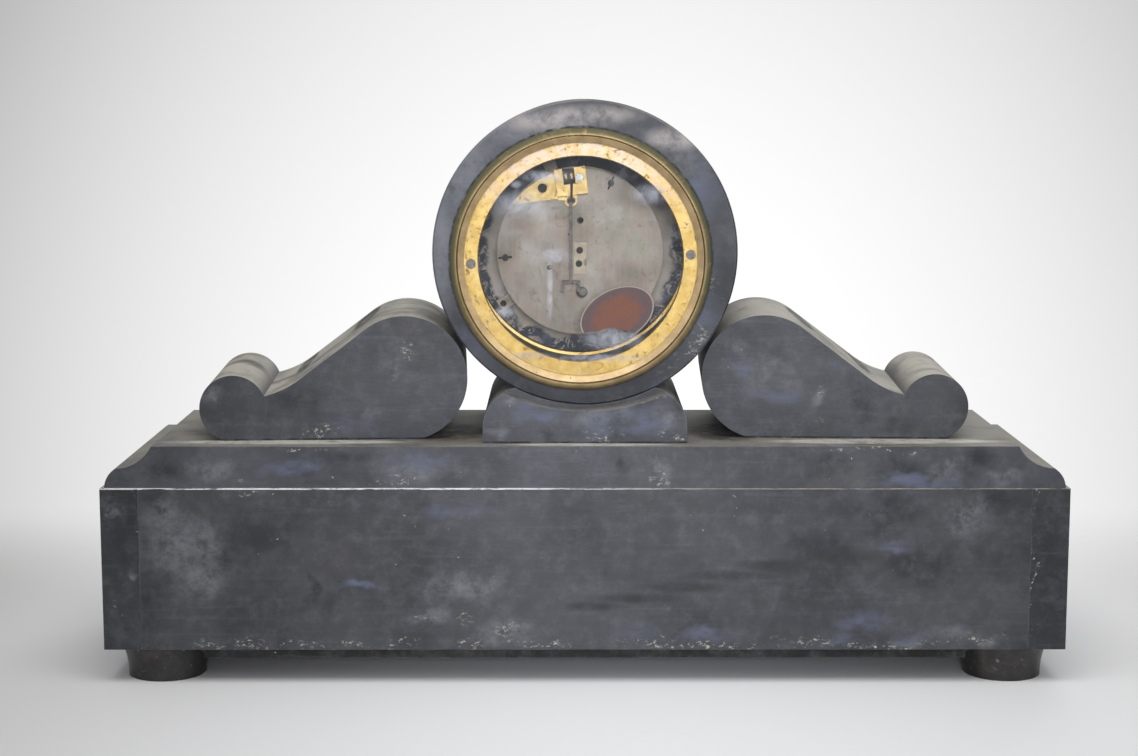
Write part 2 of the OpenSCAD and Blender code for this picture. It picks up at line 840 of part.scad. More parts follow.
module hand_nut() {
    color(gilt)
        turned(centre_at, minute_hand_y - hand_t - nut_t)
            difference() {
                square([hand_nut_r, nut_t]);
                translate([hand_nut_r, 0]) rotate(45) square(1, center = true);
                translate([0, 0.3]) square([stem_d / 2, nut_t]);
            }
}

// The cannon pinion's pipe turns inside the hour wheel's pipe
cannon_y = motion_y - 1.2;
cannon_leaf_t = 1.5;
minute_y = cannon_y - 0.3;
minute_leaf_t = 1.8;
hour_y = cannon_y - cannon_leaf_t - 0.2;

module cannon_pinion() {
    color(brass)
        difference() {
            union() {
                at_arbor(centre_at, cannon_y, cannon_leaf_t)
                    teeth(cannon_z, cannon_m, leaf, way(centre_at, minute_at) + 180 / cannon_z);
                bar(centre_at, motion_y - 0.3, motion_y - 0.3 - minute_hand_y, 2 * cannon_r);
                bar(centre_at, minute_hand_y + cut, hand_t + cut, 2 * hand_seat_r);
            }
            bar(centre_at, motion_y, motion_y - minute_hand_y + hand_t + cut, arbor_d);
        }
}

module minute_wheel() {
    color(brass)
        difference() {
            union() {
                at_arbor(minute_at, minute_y, wheel_t)
                    difference() {
                        teeth(minute_z, cannon_m, wheel_tooth, way(minute_at, centre_at));
                        crossings(2.6, cannon_m * minute_z / 2 - 1.6, 4, 1.2);
                    }
                at_arbor(minute_at, minute_y - wheel_t, minute_leaf_t)
                    teeth(minute_pinion_z, hour_m, leaf, way(minute_at, centre_at) + 180 / minute_pinion_z);
            }
            bar(minute_at, motion_y, 6, stud_d + 2 * run_gap);
        }
}

module hour_wheel() {
    color(brass)
        difference() {
            union() {
                at_arbor(centre_at, hour_y, wheel_t)
                    teeth(hour_z, hour_m, wheel_tooth, way(centre_at, minute_at));
                bar(centre_at, hour_y, hour_y - hour_hand_y + hand_t, 2 * hour_pipe_r);
            }
            bar(centre_at, motion_y, motion_y - minute_hand_y, 2 * cannon_r + 2 * run_gap);
        }
}

// Back ring, its clamps and the back door

module at_clamps() {
    for (side = [0, 180])
        translate(spot(centre_at))
            rotate([0, clamp_turn + side, 0]) children();
}

module back_ring() {
    color(gilt)
        difference() {
            turned(centre_at, drum_back_y)
                difference() {
                    union() {
                        translate([gilt_r, -gilt_t]) square([collar_r - gilt_r, gilt_t]);
                        translate([collar_r - collar_t, -collar_l]) square([collar_t, collar_l]);
                        translate([back_sight_r, 0])
                            square([back_flange_r - back_sight_r, back_flange_t]);
                        translate([back_flange_r - rim_t, 0]) square([rim_t, back_rim_h]);
                    }
                    translate([gilt_r, 0]) rotate(45) square(0.8, center = true);
                }
            at_clamps()
                translate([clamp_r, drum_back_y + cut, 0])
                    rotate([90, 0, 0]) cylinder(h = gilt_t + 2 * cut, d = clamp_screw_d + 0.4, $fn = 32);
        }
}

// Straps riveted into the front ring, their back ends bent in as ears for the clamp screws
module mounting_straps() {
    strap_back_y = drum_back_y - gilt_t;
    ear_r = clamp_r - clamp_screw_d;
    ear_at = strap_back_y - strap_ear_t - dial_plate_y;
    color(steel)
        union() {
            intersection() {
                turned(centre_at, dial_plate_y) {
                    translate([strap_out_r - strap_t, 0])
                        square([strap_t, strap_back_y - dial_plate_y]);
                    translate([ear_r, ear_at]) square([strap_out_r - ear_r, strap_ear_t]);
                }
                at_clamps()
                    difference() {
                        translate([0, dial_plate_y, -strap_w / 2]) cube([bore_r, drum_l, strap_w]);
                        translate([clamp_r, strap_back_y + cut, 0])
                            rotate([90, 0, 0])
                                cylinder(h = strap_ear_t + 2 * cut, d = clamp_screw_d, $fn = 32);
                    }
            }
            rivet_shape(2 * collar_t);
        }
}

module clamp_screws() {
    slot_w = 0.7;
    color(steel)
        at_clamps()
            translate([clamp_r, drum_back_y, 0])
                difference() {
                    union() {
                        rotate([-90, 0, 0]) cylinder(h = clamp_head_h, d = clamp_head_d, $fn = 48);
                        rotate([90, 0, 0])
                            cylinder(h = gilt_t + strap_ear_t + 3, d = clamp_screw_d, $fn = 32);
                    }
                    translate([-clamp_head_d, clamp_head_h - 0.7, -slot_w / 2])
                        cube([2 * clamp_head_d, 1, slot_w]);
                }
}

module back_door_ring() {
    skirt_r = back_flange_r + run_gap;
    seat_r = back_glass_r + ring_gap;
    round_r = 3.6;
    step_r = back_door_r - round_r;
    low = 0.3;
    color(gilt)
        turned(centre_at, drum_back_y)
            difference() {
                union() {
                    translate([back_sight_r, low]) square([step_r - back_sight_r, back_door_h - low]);
                    translate([back_sight_r, low])
                        square([back_door_r - back_sight_r, back_door_h - low - round_r]);
                    translate([step_r, back_door_h - round_r]) circle(r = round_r);
                }
                square([skirt_r, back_rim_h]);
                square([seat_r, back_door_h - back_lip_t]);
                translate([0, -round_r]) square([2 * back_door_r, round_r + low]);
                polygon([[back_sight_r, back_door_h - 0.9], [step_r - 0.8, back_door_h],
                    [step_r - 0.8, back_door_h + cut], [back_sight_r - cut, back_door_h + cut],
                    [back_sight_r - cut, back_door_h - 0.9]]);
                translate([step_r - 0.3, back_door_h]) circle(r = 0.4, $fn = 24);
            }
}

module back_glass() {
    color(clear_glass)
        turned(centre_at, back_glass_y) square([back_glass_r, glass_t]);
}

// Plates, pillars and brackets of the movement

module back_hole(at, d) {
    bar(at, plate_back_y + cut, plate_t + 2 * cut, d);
}

module front_hole(at, d) {
    bar(at, front_plate_y + cut, plate_t + 2 * cut, d);
}

module oil_sink(at, y, toward) {
    translate(spot(at) + [0, y, 0])
        rotate([toward * 90, 0, 0])
            translate([0, 0, -0.5]) cylinder(h = 1, d1 = pivot_d, d2 = 4, $fn = 48);
}

pivot_bore = pivot_d + 2 * run_gap;
blind_l = 0.4 * plate_t;

// The centre arbor's pivot and the two small screws behind it meet in blind holes
module back_plate() {
    color(brass)
        difference() {
            turned(centre_at, train_y) square([plate_r, plate_t]);
            for (at = [intermediate_at, third_at, escape_at]) back_hole(at, pivot_bore);
            for (at = [intermediate_at, escape_at]) oil_sink(at, plate_back_y, -1);
            bar(centre_at, train_y + blind_l, blind_l + cut, pivot_bore);
            back_hole(barrel_at, barrel_arbor_d - 1 + 2 * run_gap);
            back_hole(pallet_at, arbor_d + 2);
            back_hole(regulator_at, arbor_d + 2 * run_gap);
            for (a = pillar_angles) back_hole(polar(pillar_ring_r, a), pillar_neck_d);
            back_hole(cock_screw_at, cock_screw_d);
            for (at = small_screws) bar(at, plate_back_y + cut, blind_l + cut, cock_screw_d);
        }
}

// The front plate carries a riveted stud for the minute wheel
module front_plate() {
    color(brass)
        difference() {
            union() {
                turned(centre_at, motion_y) square([plate_r, plate_t]);
                bar(minute_at, front_plate_y, plate_t + 5, stud_d);
            }
            for (at = [intermediate_at, third_at, escape_at, pallet_at]) front_hole(at, pivot_bore);
            for (at = [centre_at, regulator_at]) front_hole(at, arbor_d + 2 * run_gap);
            front_hole(barrel_at, barrel_arbor_d + 2 * run_gap);
            for (a = pillar_angles) front_hole(polar(pillar_ring_r, a), pillar_neck_d);
            for (a = bracket_angles) front_hole(polar(pillar_ring_r, a), cock_screw_d);
            front_hole(click_at, click_pin_d + 2 * run_gap);
            front_hole(click_spring_at, click_pin_d);
        }
}

pillar_neck_d = 0.68 * pillar_d;
pillar_end = 3.2;
pin_d = 0.18 * pillar_d;
pin_l = 1.48 * pillar_d;
waist_r = 1.32 * pillar_d;
waist_depth = 0.12 * pillar_d;

module pillars() {
    color(brass)
        for (a = pillar_angles) {
            at = polar(pillar_ring_r, a);
            difference() {
                union() {
                    turned(at, front_plate_y)
                        difference() {
                            square([pillar_d / 2, plate_gap]);
                            translate([pillar_d / 2 + waist_r - waist_depth, plate_gap / 2])
                                circle(r = waist_r);
                        }
                    bar(at, front_plate_y + cut, plate_t + cut, pillar_neck_d);
                    bar(at, plate_back_y + pillar_end, plate_t + pillar_end + cut, pillar_neck_d);
                }
                pillar_pin_shape(at, a);
            }
        }
}

module pillar_pin_shape(at, a) {
    translate(spot(at) + [0, plate_back_y + pin_d / 2, 0])
        rotate([0, -a, 0])
            translate([-pin_l / 2, 0, 0])
                rotate([0, 90, 0]) cylinder(h = pin_l, d = pin_d, $fn = 24);
}

module pillar_pins() {
    color(steel)
        for (a = pillar_angles) pillar_pin_shape(polar(pillar_ring_r, a), a);
}

bracket_out_r = dial_plate_r - 3;
bracket_foot_screw_r = bracket_out_r - 2.6;
bracket_w = 1.4 * pillar_d;
bracket_foot = 1.2 * pillar_d;
bracket_t = dial_plate_t;

// Angle pieces that join the front plate to the dial plate
module movement_brackets() {
    arm_y = front_plate_y + bracket_t;
    foot_y = dial_plate_y + bracket_t;
    arm_r = pillar_ring_r - bracket_foot / 2;
    web_r = bracket_out_r - bracket_foot - bracket_t;
    hole_l = bracket_t + 2 * cut;
    color(brass)
        for (a = bracket_angles)
            difference() {
                translate(spot(centre_at))
                    rotate([0, -a, 0])
                        union() {
                            translate([arm_r, front_plate_y, -bracket_w / 2])
                                cube([web_r + bracket_t - arm_r, bracket_t, bracket_w]);
                            translate([web_r, dial_plate_y, -bracket_w / 2])
                                cube([bracket_t, arm_y - dial_plate_y, bracket_w]);
                            translate([web_r, dial_plate_y, -bracket_w / 2])
                                cube([bracket_foot + bracket_t, bracket_t, bracket_w]);
                        }
                bar(polar(pillar_ring_r, a), arm_y + cut, hole_l, cock_screw_d);
                bar(polar(bracket_foot_screw_r, a), foot_y + cut, hole_l, cock_screw_d);
            }
}

// Barrel, winding arbor and click work

barrel_wall = 1;
barrel_cap_t = 1.2;
barrel_top_y = train_y - great_s;
barrel_low_y = barrel_top_y - barrel_h;

module barrel() {
    great_r = great_m * great_z / 2;
    color(brass)
        difference() {
            union() {
                at_arbor(barrel_at, barrel_top_y, great_t)
                    teeth(great_z, great_m, wheel_tooth, way(barrel_at, intermediate_at));
                turned(barrel_at, barrel_low_y) square([barrel_r, barrel_h]);
            }
            turned(barrel_at, barrel_low_y - cut)
                square([barrel_r - barrel_wall, barrel_h - great_t + cut]);
            bar(barrel_at, barrel_top_y + cut, great_t + 2 * cut, barrel_arbor_d + 2 * run_gap);
        }
}

module barrel_cap() {
    color(brass)
        difference() {
            turned(barrel_at, barrel_low_y) square([barrel_r - barrel_wall, barrel_cap_t]);
            translate([0, barrel_cap_t + cut, 0])
                bar(barrel_at, barrel_low_y, barrel_cap_t + 2 * cut, barrel_arbor_d + 2 * run_gap);
        }
}

// Flat spiral of the mainspring, from its eye on the arbor out to the barrel's wall
spring_turns = 6;
spring_t = 0.5;
spring_in_r = barrel_arbor_d / 2 + 2.2;
spring_out_r = barrel_r - barrel_wall - 0.6;
spring_steps = spring_turns * 20;

function spring_point(i, side) =
    polar(spring_in_r + (spring_out_r - spring_in_r) * i / spring_steps + side * spring_t / 2, i * 18);

module mainspring() {
    h = barrel_h - great_t - 2 * barrel_cap_t;
    color(blued)
        at_arbor(barrel_at, barrel_top_y - great_t - barrel_cap_t / 2, h)
            polygon(concat(
                [for (i = [0:spring_steps]) spring_point(i, 1)],
                [for (i = [spring_steps:-1:0]) spring_point(i, -1)]));
}

module barrel_arbor() {
    shoulder_y = train_y - 0.1;
    boss_y = barrel_top_y - great_t - 0.4;
    boss_l = barrel_h - great_t - barrel_cap_t - 0.8;
    color(steel)
        union() {
            bar(barrel_at, plate_back_y, plate_t + cut, barrel_arbor_d - 1);
            bar(barrel_at, shoulder_y, shoulder_y - dial_plate_y, barrel_arbor_d);
            bar(barrel_at, boss_y, boss_l, 2 * spring_in_r - 1.2);
            at_arbor(barrel_at, dial_plate_y, dial_plate_y - dial_face_y - 0.3)
                square(winding_square, center = true);
        }
}

ratchet_y = motion_y - 0.3;
ratchet_t = 1.4;
click_pin_d = 1.6;
click_at = barrel_at + polar(ratchet_r + 5, 200);
click_spring_at = barrel_at + polar(ratchet_r + 9, 168);

module ratchet_wheel() {
    color(steel)
        at_arbor(barrel_at, ratchet_y, ratchet_t)
            difference() {
                polygon([for (i = [0:ratchet_z - 1])
                    for (c = [[ratchet_r - 1.1, 0], [ratchet_r, 0.08]])
                        polar(c[0], (i + c[1]) * 360 / ratchet_z)]);
                circle(d = barrel_arbor_d);
            }
}

// The click's beak rests between two teeth, a little clear of both
module click() {
    tip = polar(ratchet_r - 0.4, (ratchet_z / 2 + 0.55) * 360 / ratchet_z);
    tail = click_at - barrel_at;
    color(steel)
        union() {
            at_arbor(barrel_at, ratchet_y, ratchet_t)
                union() {
                    translate(tail) circle(r = 1.9, $fn = 48);
                    polygon([
                        tail + [0.6, 1.7], tip + [-0.25, 0.35],
                        tip + [-0.1, -0.25], tail + [-0.4, -1.8]]);
                }
            bar(click_at, front_plate_y, plate_t + cut, click_pin_d);
        }
}

module click_spring() {
    root = click_spring_at - barrel_at;
    tail = click_at - barrel_at;
    color(steel)
        union() {
            at_arbor(barrel_at, ratchet_y, ratchet_t)
                union() {
                    translate(root) circle(r = 1.6, $fn = 48);
                    polygon([
                        root + [-0.3, -1.2], root + [0.3, -1.2],
                        tail + [-0.1, 2.3], tail + [-0.5, 2.3]]);
                }
            bar(click_spring_at, front_plate_y, plate_t + cut, click_pin_d);
        }
}

// Going train

pivot_in = 0.4;
arbor_play = 0.3;
pinion_over = 0.6;
pinion_l = wheel_t + 2 * pinion_over;

module pivots(at) {
    bar(at, plate_back_y - pivot_in, plate_t, pivot_d);
    bar(at, front_plate_y + pivot_in, plate_t, pivot_d);
}

// A thin arbor with a small pinion at distance s, cut down to the pinion's root where a wheel drives it
module fine_arbor(at, s, m, to) {
    d = 0.7 * arbor_d;
    back_l = s - arbor_play - pinion_over / 2;
    front_s = s + wheel_t + pinion_over / 2;
    union() {
        pivots(at);
        bar(at, train_y - arbor_play, back_l, d);
        at_arbor(at, train_y - s + pinion_over, pinion_l)
            teeth(fine_pinion_z, m, leaf, way(at, to) + 180 / fine_pinion_z);
        bar(at, train_y - front_s, plate_gap - arbor_play - front_s, d);
    }
}

module train_wheel(at, s, z, m, to, hub, bore) {
    r = m * z / 2;
    at_arbor(at, train_y - s, wheel_t)
        difference() {
            teeth(z, m, wheel_tooth, way(at, to));
            crossings(hub, r - 2.6 * m - 0.6, 4, 1.2);
            circle(d = bore, $fn = 32);
        }
}

module intermediate_wheel() {
    color(brass)
        train_wheel(intermediate_at, intermediate_s, intermediate_z, intermediate_m, centre_at, 3, arbor_d);
}

module intermediate_arbor() {
    color(steel)
        union() {
            pivots(intermediate_at);
            bar(intermediate_at, train_y - arbor_play, plate_gap - 2 * arbor_play, arbor_d);
            at_arbor(intermediate_at, train_y - great_s + pinion_over, great_t + 2 * pinion_over)
                teeth(intermediate_pinion_z, great_m, leaf,
                    way(intermediate_at, barrel_at) + 180 / intermediate_pinion_z);
        }
}

module centre_wheel() {
    color(brass)
        train_wheel(centre_at, centre_s, centre_z, centre_m, third_at, 2.6, arbor_d);
}

module centre_arbor() {
    color(steel)
        union() {
            bar(centre_at, train_y + blind_l - 0.1, blind_l + cut, pivot_d);
            bar(centre_at, train_y - arbor_play, train_y - arbor_play - minute_hand_y, arbor_d);
            bar(centre_at, minute_hand_y, hand_t + 0.9, stem_d);
            at_arbor(centre_at, train_y - intermediate_s + pinion_over, pinion_l)
                teeth(centre_pinion_z, intermediate_m, leaf,
                    way(centre_at, intermediate_at) + 180 / centre_pinion_z);
        }
}

module third_wheel() {
    color(brass)
        union() {
            train_wheel(third_at, third_s, third_z, third_m, escape_at, 1.6, 0.2);
            fine_arbor(third_at, centre_s, centre_m, centre_at);
        }
}

module escape_wheel() {
    color(brass)
        union() {
            at_arbor(escape_at, train_y - pallet_s, escape_t)
                difference() {
                    polygon([for (i = [0:escape_z - 1])
                        for (c = [[escape_r - 1.1, 0], [escape_r, 0.1]])
                            polar(c[0], (i + c[1]) * 360 / escape_z)]);
                    crossings(1.6, escape_r - 2, 4, 0.9);
                }
            fine_arbor(escape_at, third_s, third_m, third_at);
        }
}

// Anchor, crutch and suspension

pallet_gap = 0.9;
anchor_t = 1.6;
crutch_y = plate_back_y + cock_t + 3.4;

module pallets() {
    reach = norm(pallet_at - escape_at);
    a = way(escape_at, pallet_at);
    tip_r = escape_r + pallet_gap;
    half = acos(escape_r / reach);
    color(steel)
        union() {
            at_arbor(escape_at, train_y - pallet_s + (anchor_t - escape_t) / 2, anchor_t)
                intersection() {
                    difference() {
                        circle(r = tip_r + 1.8);
                        circle(r = tip_r);
                    }
                    rotate(a)
                        polygon(3 * escape_r * [[0, 0], polar(1, half), [1, 0], polar(1, -half)]);
                }
            at_arbor(escape_at, train_y - pallet_s + (anchor_t - escape_t) / 2, anchor_t)
                rotate(a)
                    translate([tip_r + 0.6, -1.2]) square([reach - tip_r - 0.6, 2.4]);
            at_arbor(pallet_at, train_y - pallet_s + (anchor_t - escape_t) / 2, anchor_t) circle(r = 2);
            bar(pallet_at, crutch_y + 0.6, crutch_y + 0.6 - train_y + plate_gap - 0.3, arbor_d * 0.8);
            bar(pallet_at, train_y - plate_gap + cut, plate_t + cut - 0.4, pivot_d);
        }
}

module crutch() {
    rod_low = crutch_l;
    prong = [1.6, 5, 5.6];
    color(steel)
        difference() {
            union() {
                at_arbor(pallet_at, crutch_y, 2.4) circle(r = 2.2, $fn = 48);
                at_arbor(pallet_at, crutch_y, 1.2)
                    translate([-crutch_w / 2, -rod_low]) square([crutch_w, rod_low]);
                at_arbor(pallet_at, crutch_y, 1.2)
                    translate([-fork_w / 2, -rod_low - 1.6]) square([fork_w, 2]);
                for (x = [-fork_w / 2, fork_w / 2 - prong[0]])
                    translate(spot(pallet_at) + [x, crutch_y - 1.2, -rod_low - prong[2]]) cube(prong);
            }
            bar(pallet_at, crutch_y + 1, 6, arbor_d * 0.8);
        }
}

cock_screw_d = 2;
small_screws = layout * [[0.2, 0.8], [0.6, -6.4]];
cock_pins = layout * [[15.4, 35.1], [26.3, 30.3]];
small_cock_t = 1.2;

module back_cock() {
    top_y = plate_back_y + cock_t + cut;
    hole_l = cock_t + 2 * cut;
    boss_r = layout * 3.4;
    color(gilt)
        difference() {
            at_arbor(centre_at, plate_back_y + cock_t, cock_t)
                intersection() {
                    circle(r = plate_r - 0.3);
                    union() {
                        polygon(layout * [[32.4, 25.9], [11.8, 28.4], [11.8, 60], [60, 60], [60, 25.9]]);
                        polygon(layout * [[12, 30], [-3, 32], [-3, 60], [12, 60]]);
                        translate(pallet_at) circle(r = boss_r, $fn = 48);
                        translate(pallet_at - [boss_r, 0]) square([3 * boss_r, 1.8 * boss_r]);
                    }
                }
            bar(pallet_at, top_y, hole_l, arbor_d * 0.8 + 2 * run_gap);
            bar(cock_screw_at, top_y, hole_l, cock_screw_d);
            bar(regulator_at, top_y, hole_l, arbor_d + 2 * run_gap);
            for (at = cock_pins) bar(at, plate_back_y + cock_t + 0.4, 1, 1.6);
        }
}

module centre_cock() {
    size = layout * [7, 17.4];
    color(brass)
        difference() {
            at_arbor(layout * [-0.1, -3.5], plate_back_y + small_cock_t, small_cock_t)
                square(size, center = true);
            for (at = small_screws)
                bar(at, plate_back_y + small_cock_t + cut, small_cock_t + 2 * cut, cock_screw_d);
        }
}

module cock_screw(at, y, head_d, under) {
    difference() {
        union() {
            bar(at, y + 1, 1, head_d);
            bar(at, y, under, cock_screw_d);
        }
        translate(spot(at) + [-head_d, y + 0.6, -0.3]) cube([2 * head_d, 1, 0.6]);
    }
}

module cock_screws() {
    color(steel) {
        cock_screw(cock_screw_at, plate_back_y + cock_t, 5, cock_t + 1.6);
        for (at = small_screws)
            cock_screw(at, plate_back_y + small_cock_t, 3.6, small_cock_t + blind_l);
        for (a = bracket_angles) {
            cock_screw(polar(pillar_ring_r, a), front_plate_y + bracket_t, 3.6, 3);
            cock_screw(polar(bracket_foot_screw_r, a), dial_plate_y + bracket_t, 3.6, bracket_t);
        }
    }
}

block_y = plate_back_y + cock_t + block_t;
slot_w = 6.4;
slot_h = 8.6;
slot_x = 0.9;
chop_y = block_y + 0.3;

// Brass block with a slot for the suspension, leaning with the movement
module suspension_block() {
    color(gilt)
        difference() {
            at_arbor(block_at, block_y, block_t)
                rotate(-lean)
                    difference() {
                        square([block_w, block_h], center = true);
                        translate([slot_x - slot_w / 2, block_h / 2 - slot_h]) square([slot_w, slot_h + cut]);
                    }
            bar(regulator_at, block_y + cut, block_t + 2 * cut, arbor_d + 2 * run_gap);
        }
}

// Steel chops in the block's slot, with the thin spring hanging from them
module suspension_spring() {
    chop_h = 8;
    window = [1.2, 3.4];
    color(steel)
        union() {
            at_arbor(block_at, chop_y, block_t)
                rotate(-lean)
                    difference() {
                        translate([slot_x - slot_w / 2, block_h / 2 - slot_h]) square([slot_w, chop_h]);
                        for (side = [-1, 1])
                            translate([slot_x + side * 1.5 - window[0] / 2, block_h / 2 - 6]) square(window);
                    }
            at_arbor(block_at, chop_y, 0.25)
                polygon([[-1, -0.8], [0.6, -0.8], [0.3, -9.9], [-0.7, -9.9]]);
            at_arbor(block_at, chop_y + 0.2, 1)
                translate([-2.2, -11]) square([4, 1.6]);
        }
}

module regulator_wheel() {
    knurls = 18;
    wheel_r = 2.1;
    color(steel)
        union() {
            at_arbor(regulator_at, block_y + 1.8, 1.4)
                polygon([for (i = [0:2 * knurls - 1])
                    polar(wheel_r - 0.25 * (i % 2), i * 180 / knurls)]);
            bar(regulator_at, block_y + 1, block_y + 1 - dial_y, arbor_d);
            at_arbor(regulator_at, dial_y, dial_t - 0.3) square(0.6 * arbor_d, center = true);
        }
}

base_front_slab();
base_back_slab();
base_left_slab();
base_right_slab();
base_board();
foot_front_left();
foot_front_right();
foot_back_left();
foot_back_right();
foot_screws();
plinth();
scroll_left();
scroll_right();
saddle();
drum();
drum_bolt();
drum_nut();
front_ring();
dial_plate();
dial();
front_door_ring();
front_glass();
front_hinge_pin();
hour_hand();
minute_hand();
hand_nut();
back_ring();
mounting_straps();
clamp_screws();
back_door_ring();
back_glass();
front_plate();
back_plate();
pillars();
pillar_pins();
movement_brackets();
barrel();
barrel_cap();
barrel_arbor();
mainspring();
ratchet_wheel();
click();
click_spring();
intermediate_wheel();
intermediate_arbor();
centre_wheel();
centre_arbor();
third_wheel();
escape_wheel();
pallets();
crutch();
cannon_pinion();
minute_wheel();
hour_wheel();
back_cock();
suspension_block();
suspension_spring();
centre_cock();
cock_screws();
regulator_wheel();
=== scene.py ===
import math

import bmesh
import bpy
from mathutils import Matrix, Vector


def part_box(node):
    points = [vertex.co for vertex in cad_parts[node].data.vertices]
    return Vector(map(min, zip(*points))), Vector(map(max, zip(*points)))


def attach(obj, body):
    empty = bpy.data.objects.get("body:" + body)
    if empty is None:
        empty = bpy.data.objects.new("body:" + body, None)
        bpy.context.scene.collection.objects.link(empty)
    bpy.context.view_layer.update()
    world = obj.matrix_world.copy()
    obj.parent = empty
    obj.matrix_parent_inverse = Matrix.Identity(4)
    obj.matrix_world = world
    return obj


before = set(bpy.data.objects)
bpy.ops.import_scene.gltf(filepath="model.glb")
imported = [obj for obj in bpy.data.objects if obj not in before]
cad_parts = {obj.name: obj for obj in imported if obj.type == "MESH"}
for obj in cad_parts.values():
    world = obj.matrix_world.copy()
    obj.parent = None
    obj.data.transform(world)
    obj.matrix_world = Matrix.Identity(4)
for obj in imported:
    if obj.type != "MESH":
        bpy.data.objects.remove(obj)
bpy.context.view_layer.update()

# Base slabs
# Four sawn and honed slabs of dark slate, cemented at the corners: the front one runs the full
# length, the back one stands between the ends. Handling has left the honed faces cloudy.


def colour(text):
    """Turns an sRGB hex colour into the linear one that a shader takes."""
    parts = [int(text[i:i + 2], 16) / 255 for i in (1, 3, 5)]
    return (*[c / 12.92 if c <= 0.04045 else ((c + 0.055) / 1.055) ** 2.4 for c in parts], 1.0)


def add(tree, kind, inputs=(), **settings):
    """Adds one shader node with its settings and links, and gives back its first output in use.

    inputs holds values, or sockets that feed the node: by socket name, or in the order of the
    sockets in use.
    """
    node = tree.nodes.new("ShaderNode" + kind)
    for name, value in settings.items():
        setattr(node, name, value)
    if isinstance(inputs, dict):
        pairs = [(node.inputs[name], value) for name, value in inputs.items()]
    else:
        pairs = zip([socket for socket in node.inputs if socket.enabled], inputs)
    for socket, value in pairs:
        if isinstance(value, bpy.types.NodeSocket):
            tree.links.new(value, socket)
        else:
            socket.default_value = value
    return next((socket for socket in node.outputs if socket.enabled), None)


def begin(name):
    """Starts a material.

    Gives back the material, its tree and its surface shader, the place of a point in metres, and
    that place loosened a little, which turns the outlines of marks ragged.
    """
    made = bpy.data.materials.new(name)
    made.use_nodes = True
    tree = made.node_tree
    place = add(tree, "TexCoord").node.outputs["Object"]
    swirl = add(tree, "TexNoise", {"Vector": place, "Scale": 70, "Detail": 4}).node.outputs["Color"]
    swirl = add(tree, "VectorMath", (swirl, (0.5, 0.5, 0.5)), operation="SUBTRACT")
    loose = add(tree, "VectorMath", (swirl, (0.02, 0.02, 0.02), place), operation="MULTIPLY_ADD")
    return made, tree, tree.nodes["Principled BSDF"], place, loose


def patches(tree, place, size, low, high, within=1.0, detail=5.0, rough=0.6,
            squeeze=(1, 1, 1), shift=0.0):
    """Cloudy mask with patches about size metres across.

    The clouds fade in between the noise levels low and high. within is another mask that they
    keep to, or their strength. squeeze stretches them, and shift gives other clouds.
    """
    moved = add(tree, "Mapping", {"Vector": place, "Location": (shift, 0.7 * shift, -shift),
                                  "Scale": squeeze})
    cloud = add(tree, "TexNoise", {"Vector": moved, "Scale": 1 / size, "Detail": detail,
                                   "Roughness": rough})
    mask = add(tree, "MapRange", (cloud, low, high), interpolation_type="SMOOTHSTEP")
    return add(tree, "Math", (mask, within), operation="MULTIPLY")


def marks(tree, place, face, spots):
    """Mask of oval marks on an upright face, as deep as 6 mm.

    Each is given in millimetres: across, up, half width and half height.
    """
    mask = 0.0
    for across, up, wide, high in spots:
        near = add(tree, "Mapping", {"Vector": place, "Location": (across / 1000, face, up / 1000),
                                     "Scale": (wide / 1000, 0.006, high / 1000)},
                   vector_type="TEXTURE")
        away = add(tree, "VectorMath", (near,), operation="LENGTH")
        spot = add(tree, "MapRange", (away, 1.4, 0.2), interpolation_type="SMOOTHSTEP")
        mask = add(tree, "Math", (mask, spot), operation="MAXIMUM")
    return mask


def marks_above(tree, place, spots):
    """Mask of oval marks seen from above, at any height.

    Each is given in millimetres: across, back, half width and half depth.
    """
    mask = 0.0
    for across, back, wide, deep in spots:
        near = add(tree, "Mapping", {"Vector": place, "Location": (across / 1000, back / 1000, 0),
                                     "Scale": (wide / 1000, deep / 1000, 1000)},
                   vector_type="TEXTURE")
        away = add(tree, "VectorMath", (near,), operation="LENGTH")
        spot = add(tree, "MapRange", (away, 1.15, 0.75), interpolation_type="SMOOTHSTEP")
        mask = add(tree, "Math", (mask, spot), operation="MAXIMUM")
    return mask


def paint(tree, base, layers):
    """Lays tones over a base colour, each through its own mask."""
    for mask, tone in layers:
        base = add(tree, "Mix", (mask, base, colour(tone)), data_type="RGBA")
    return base


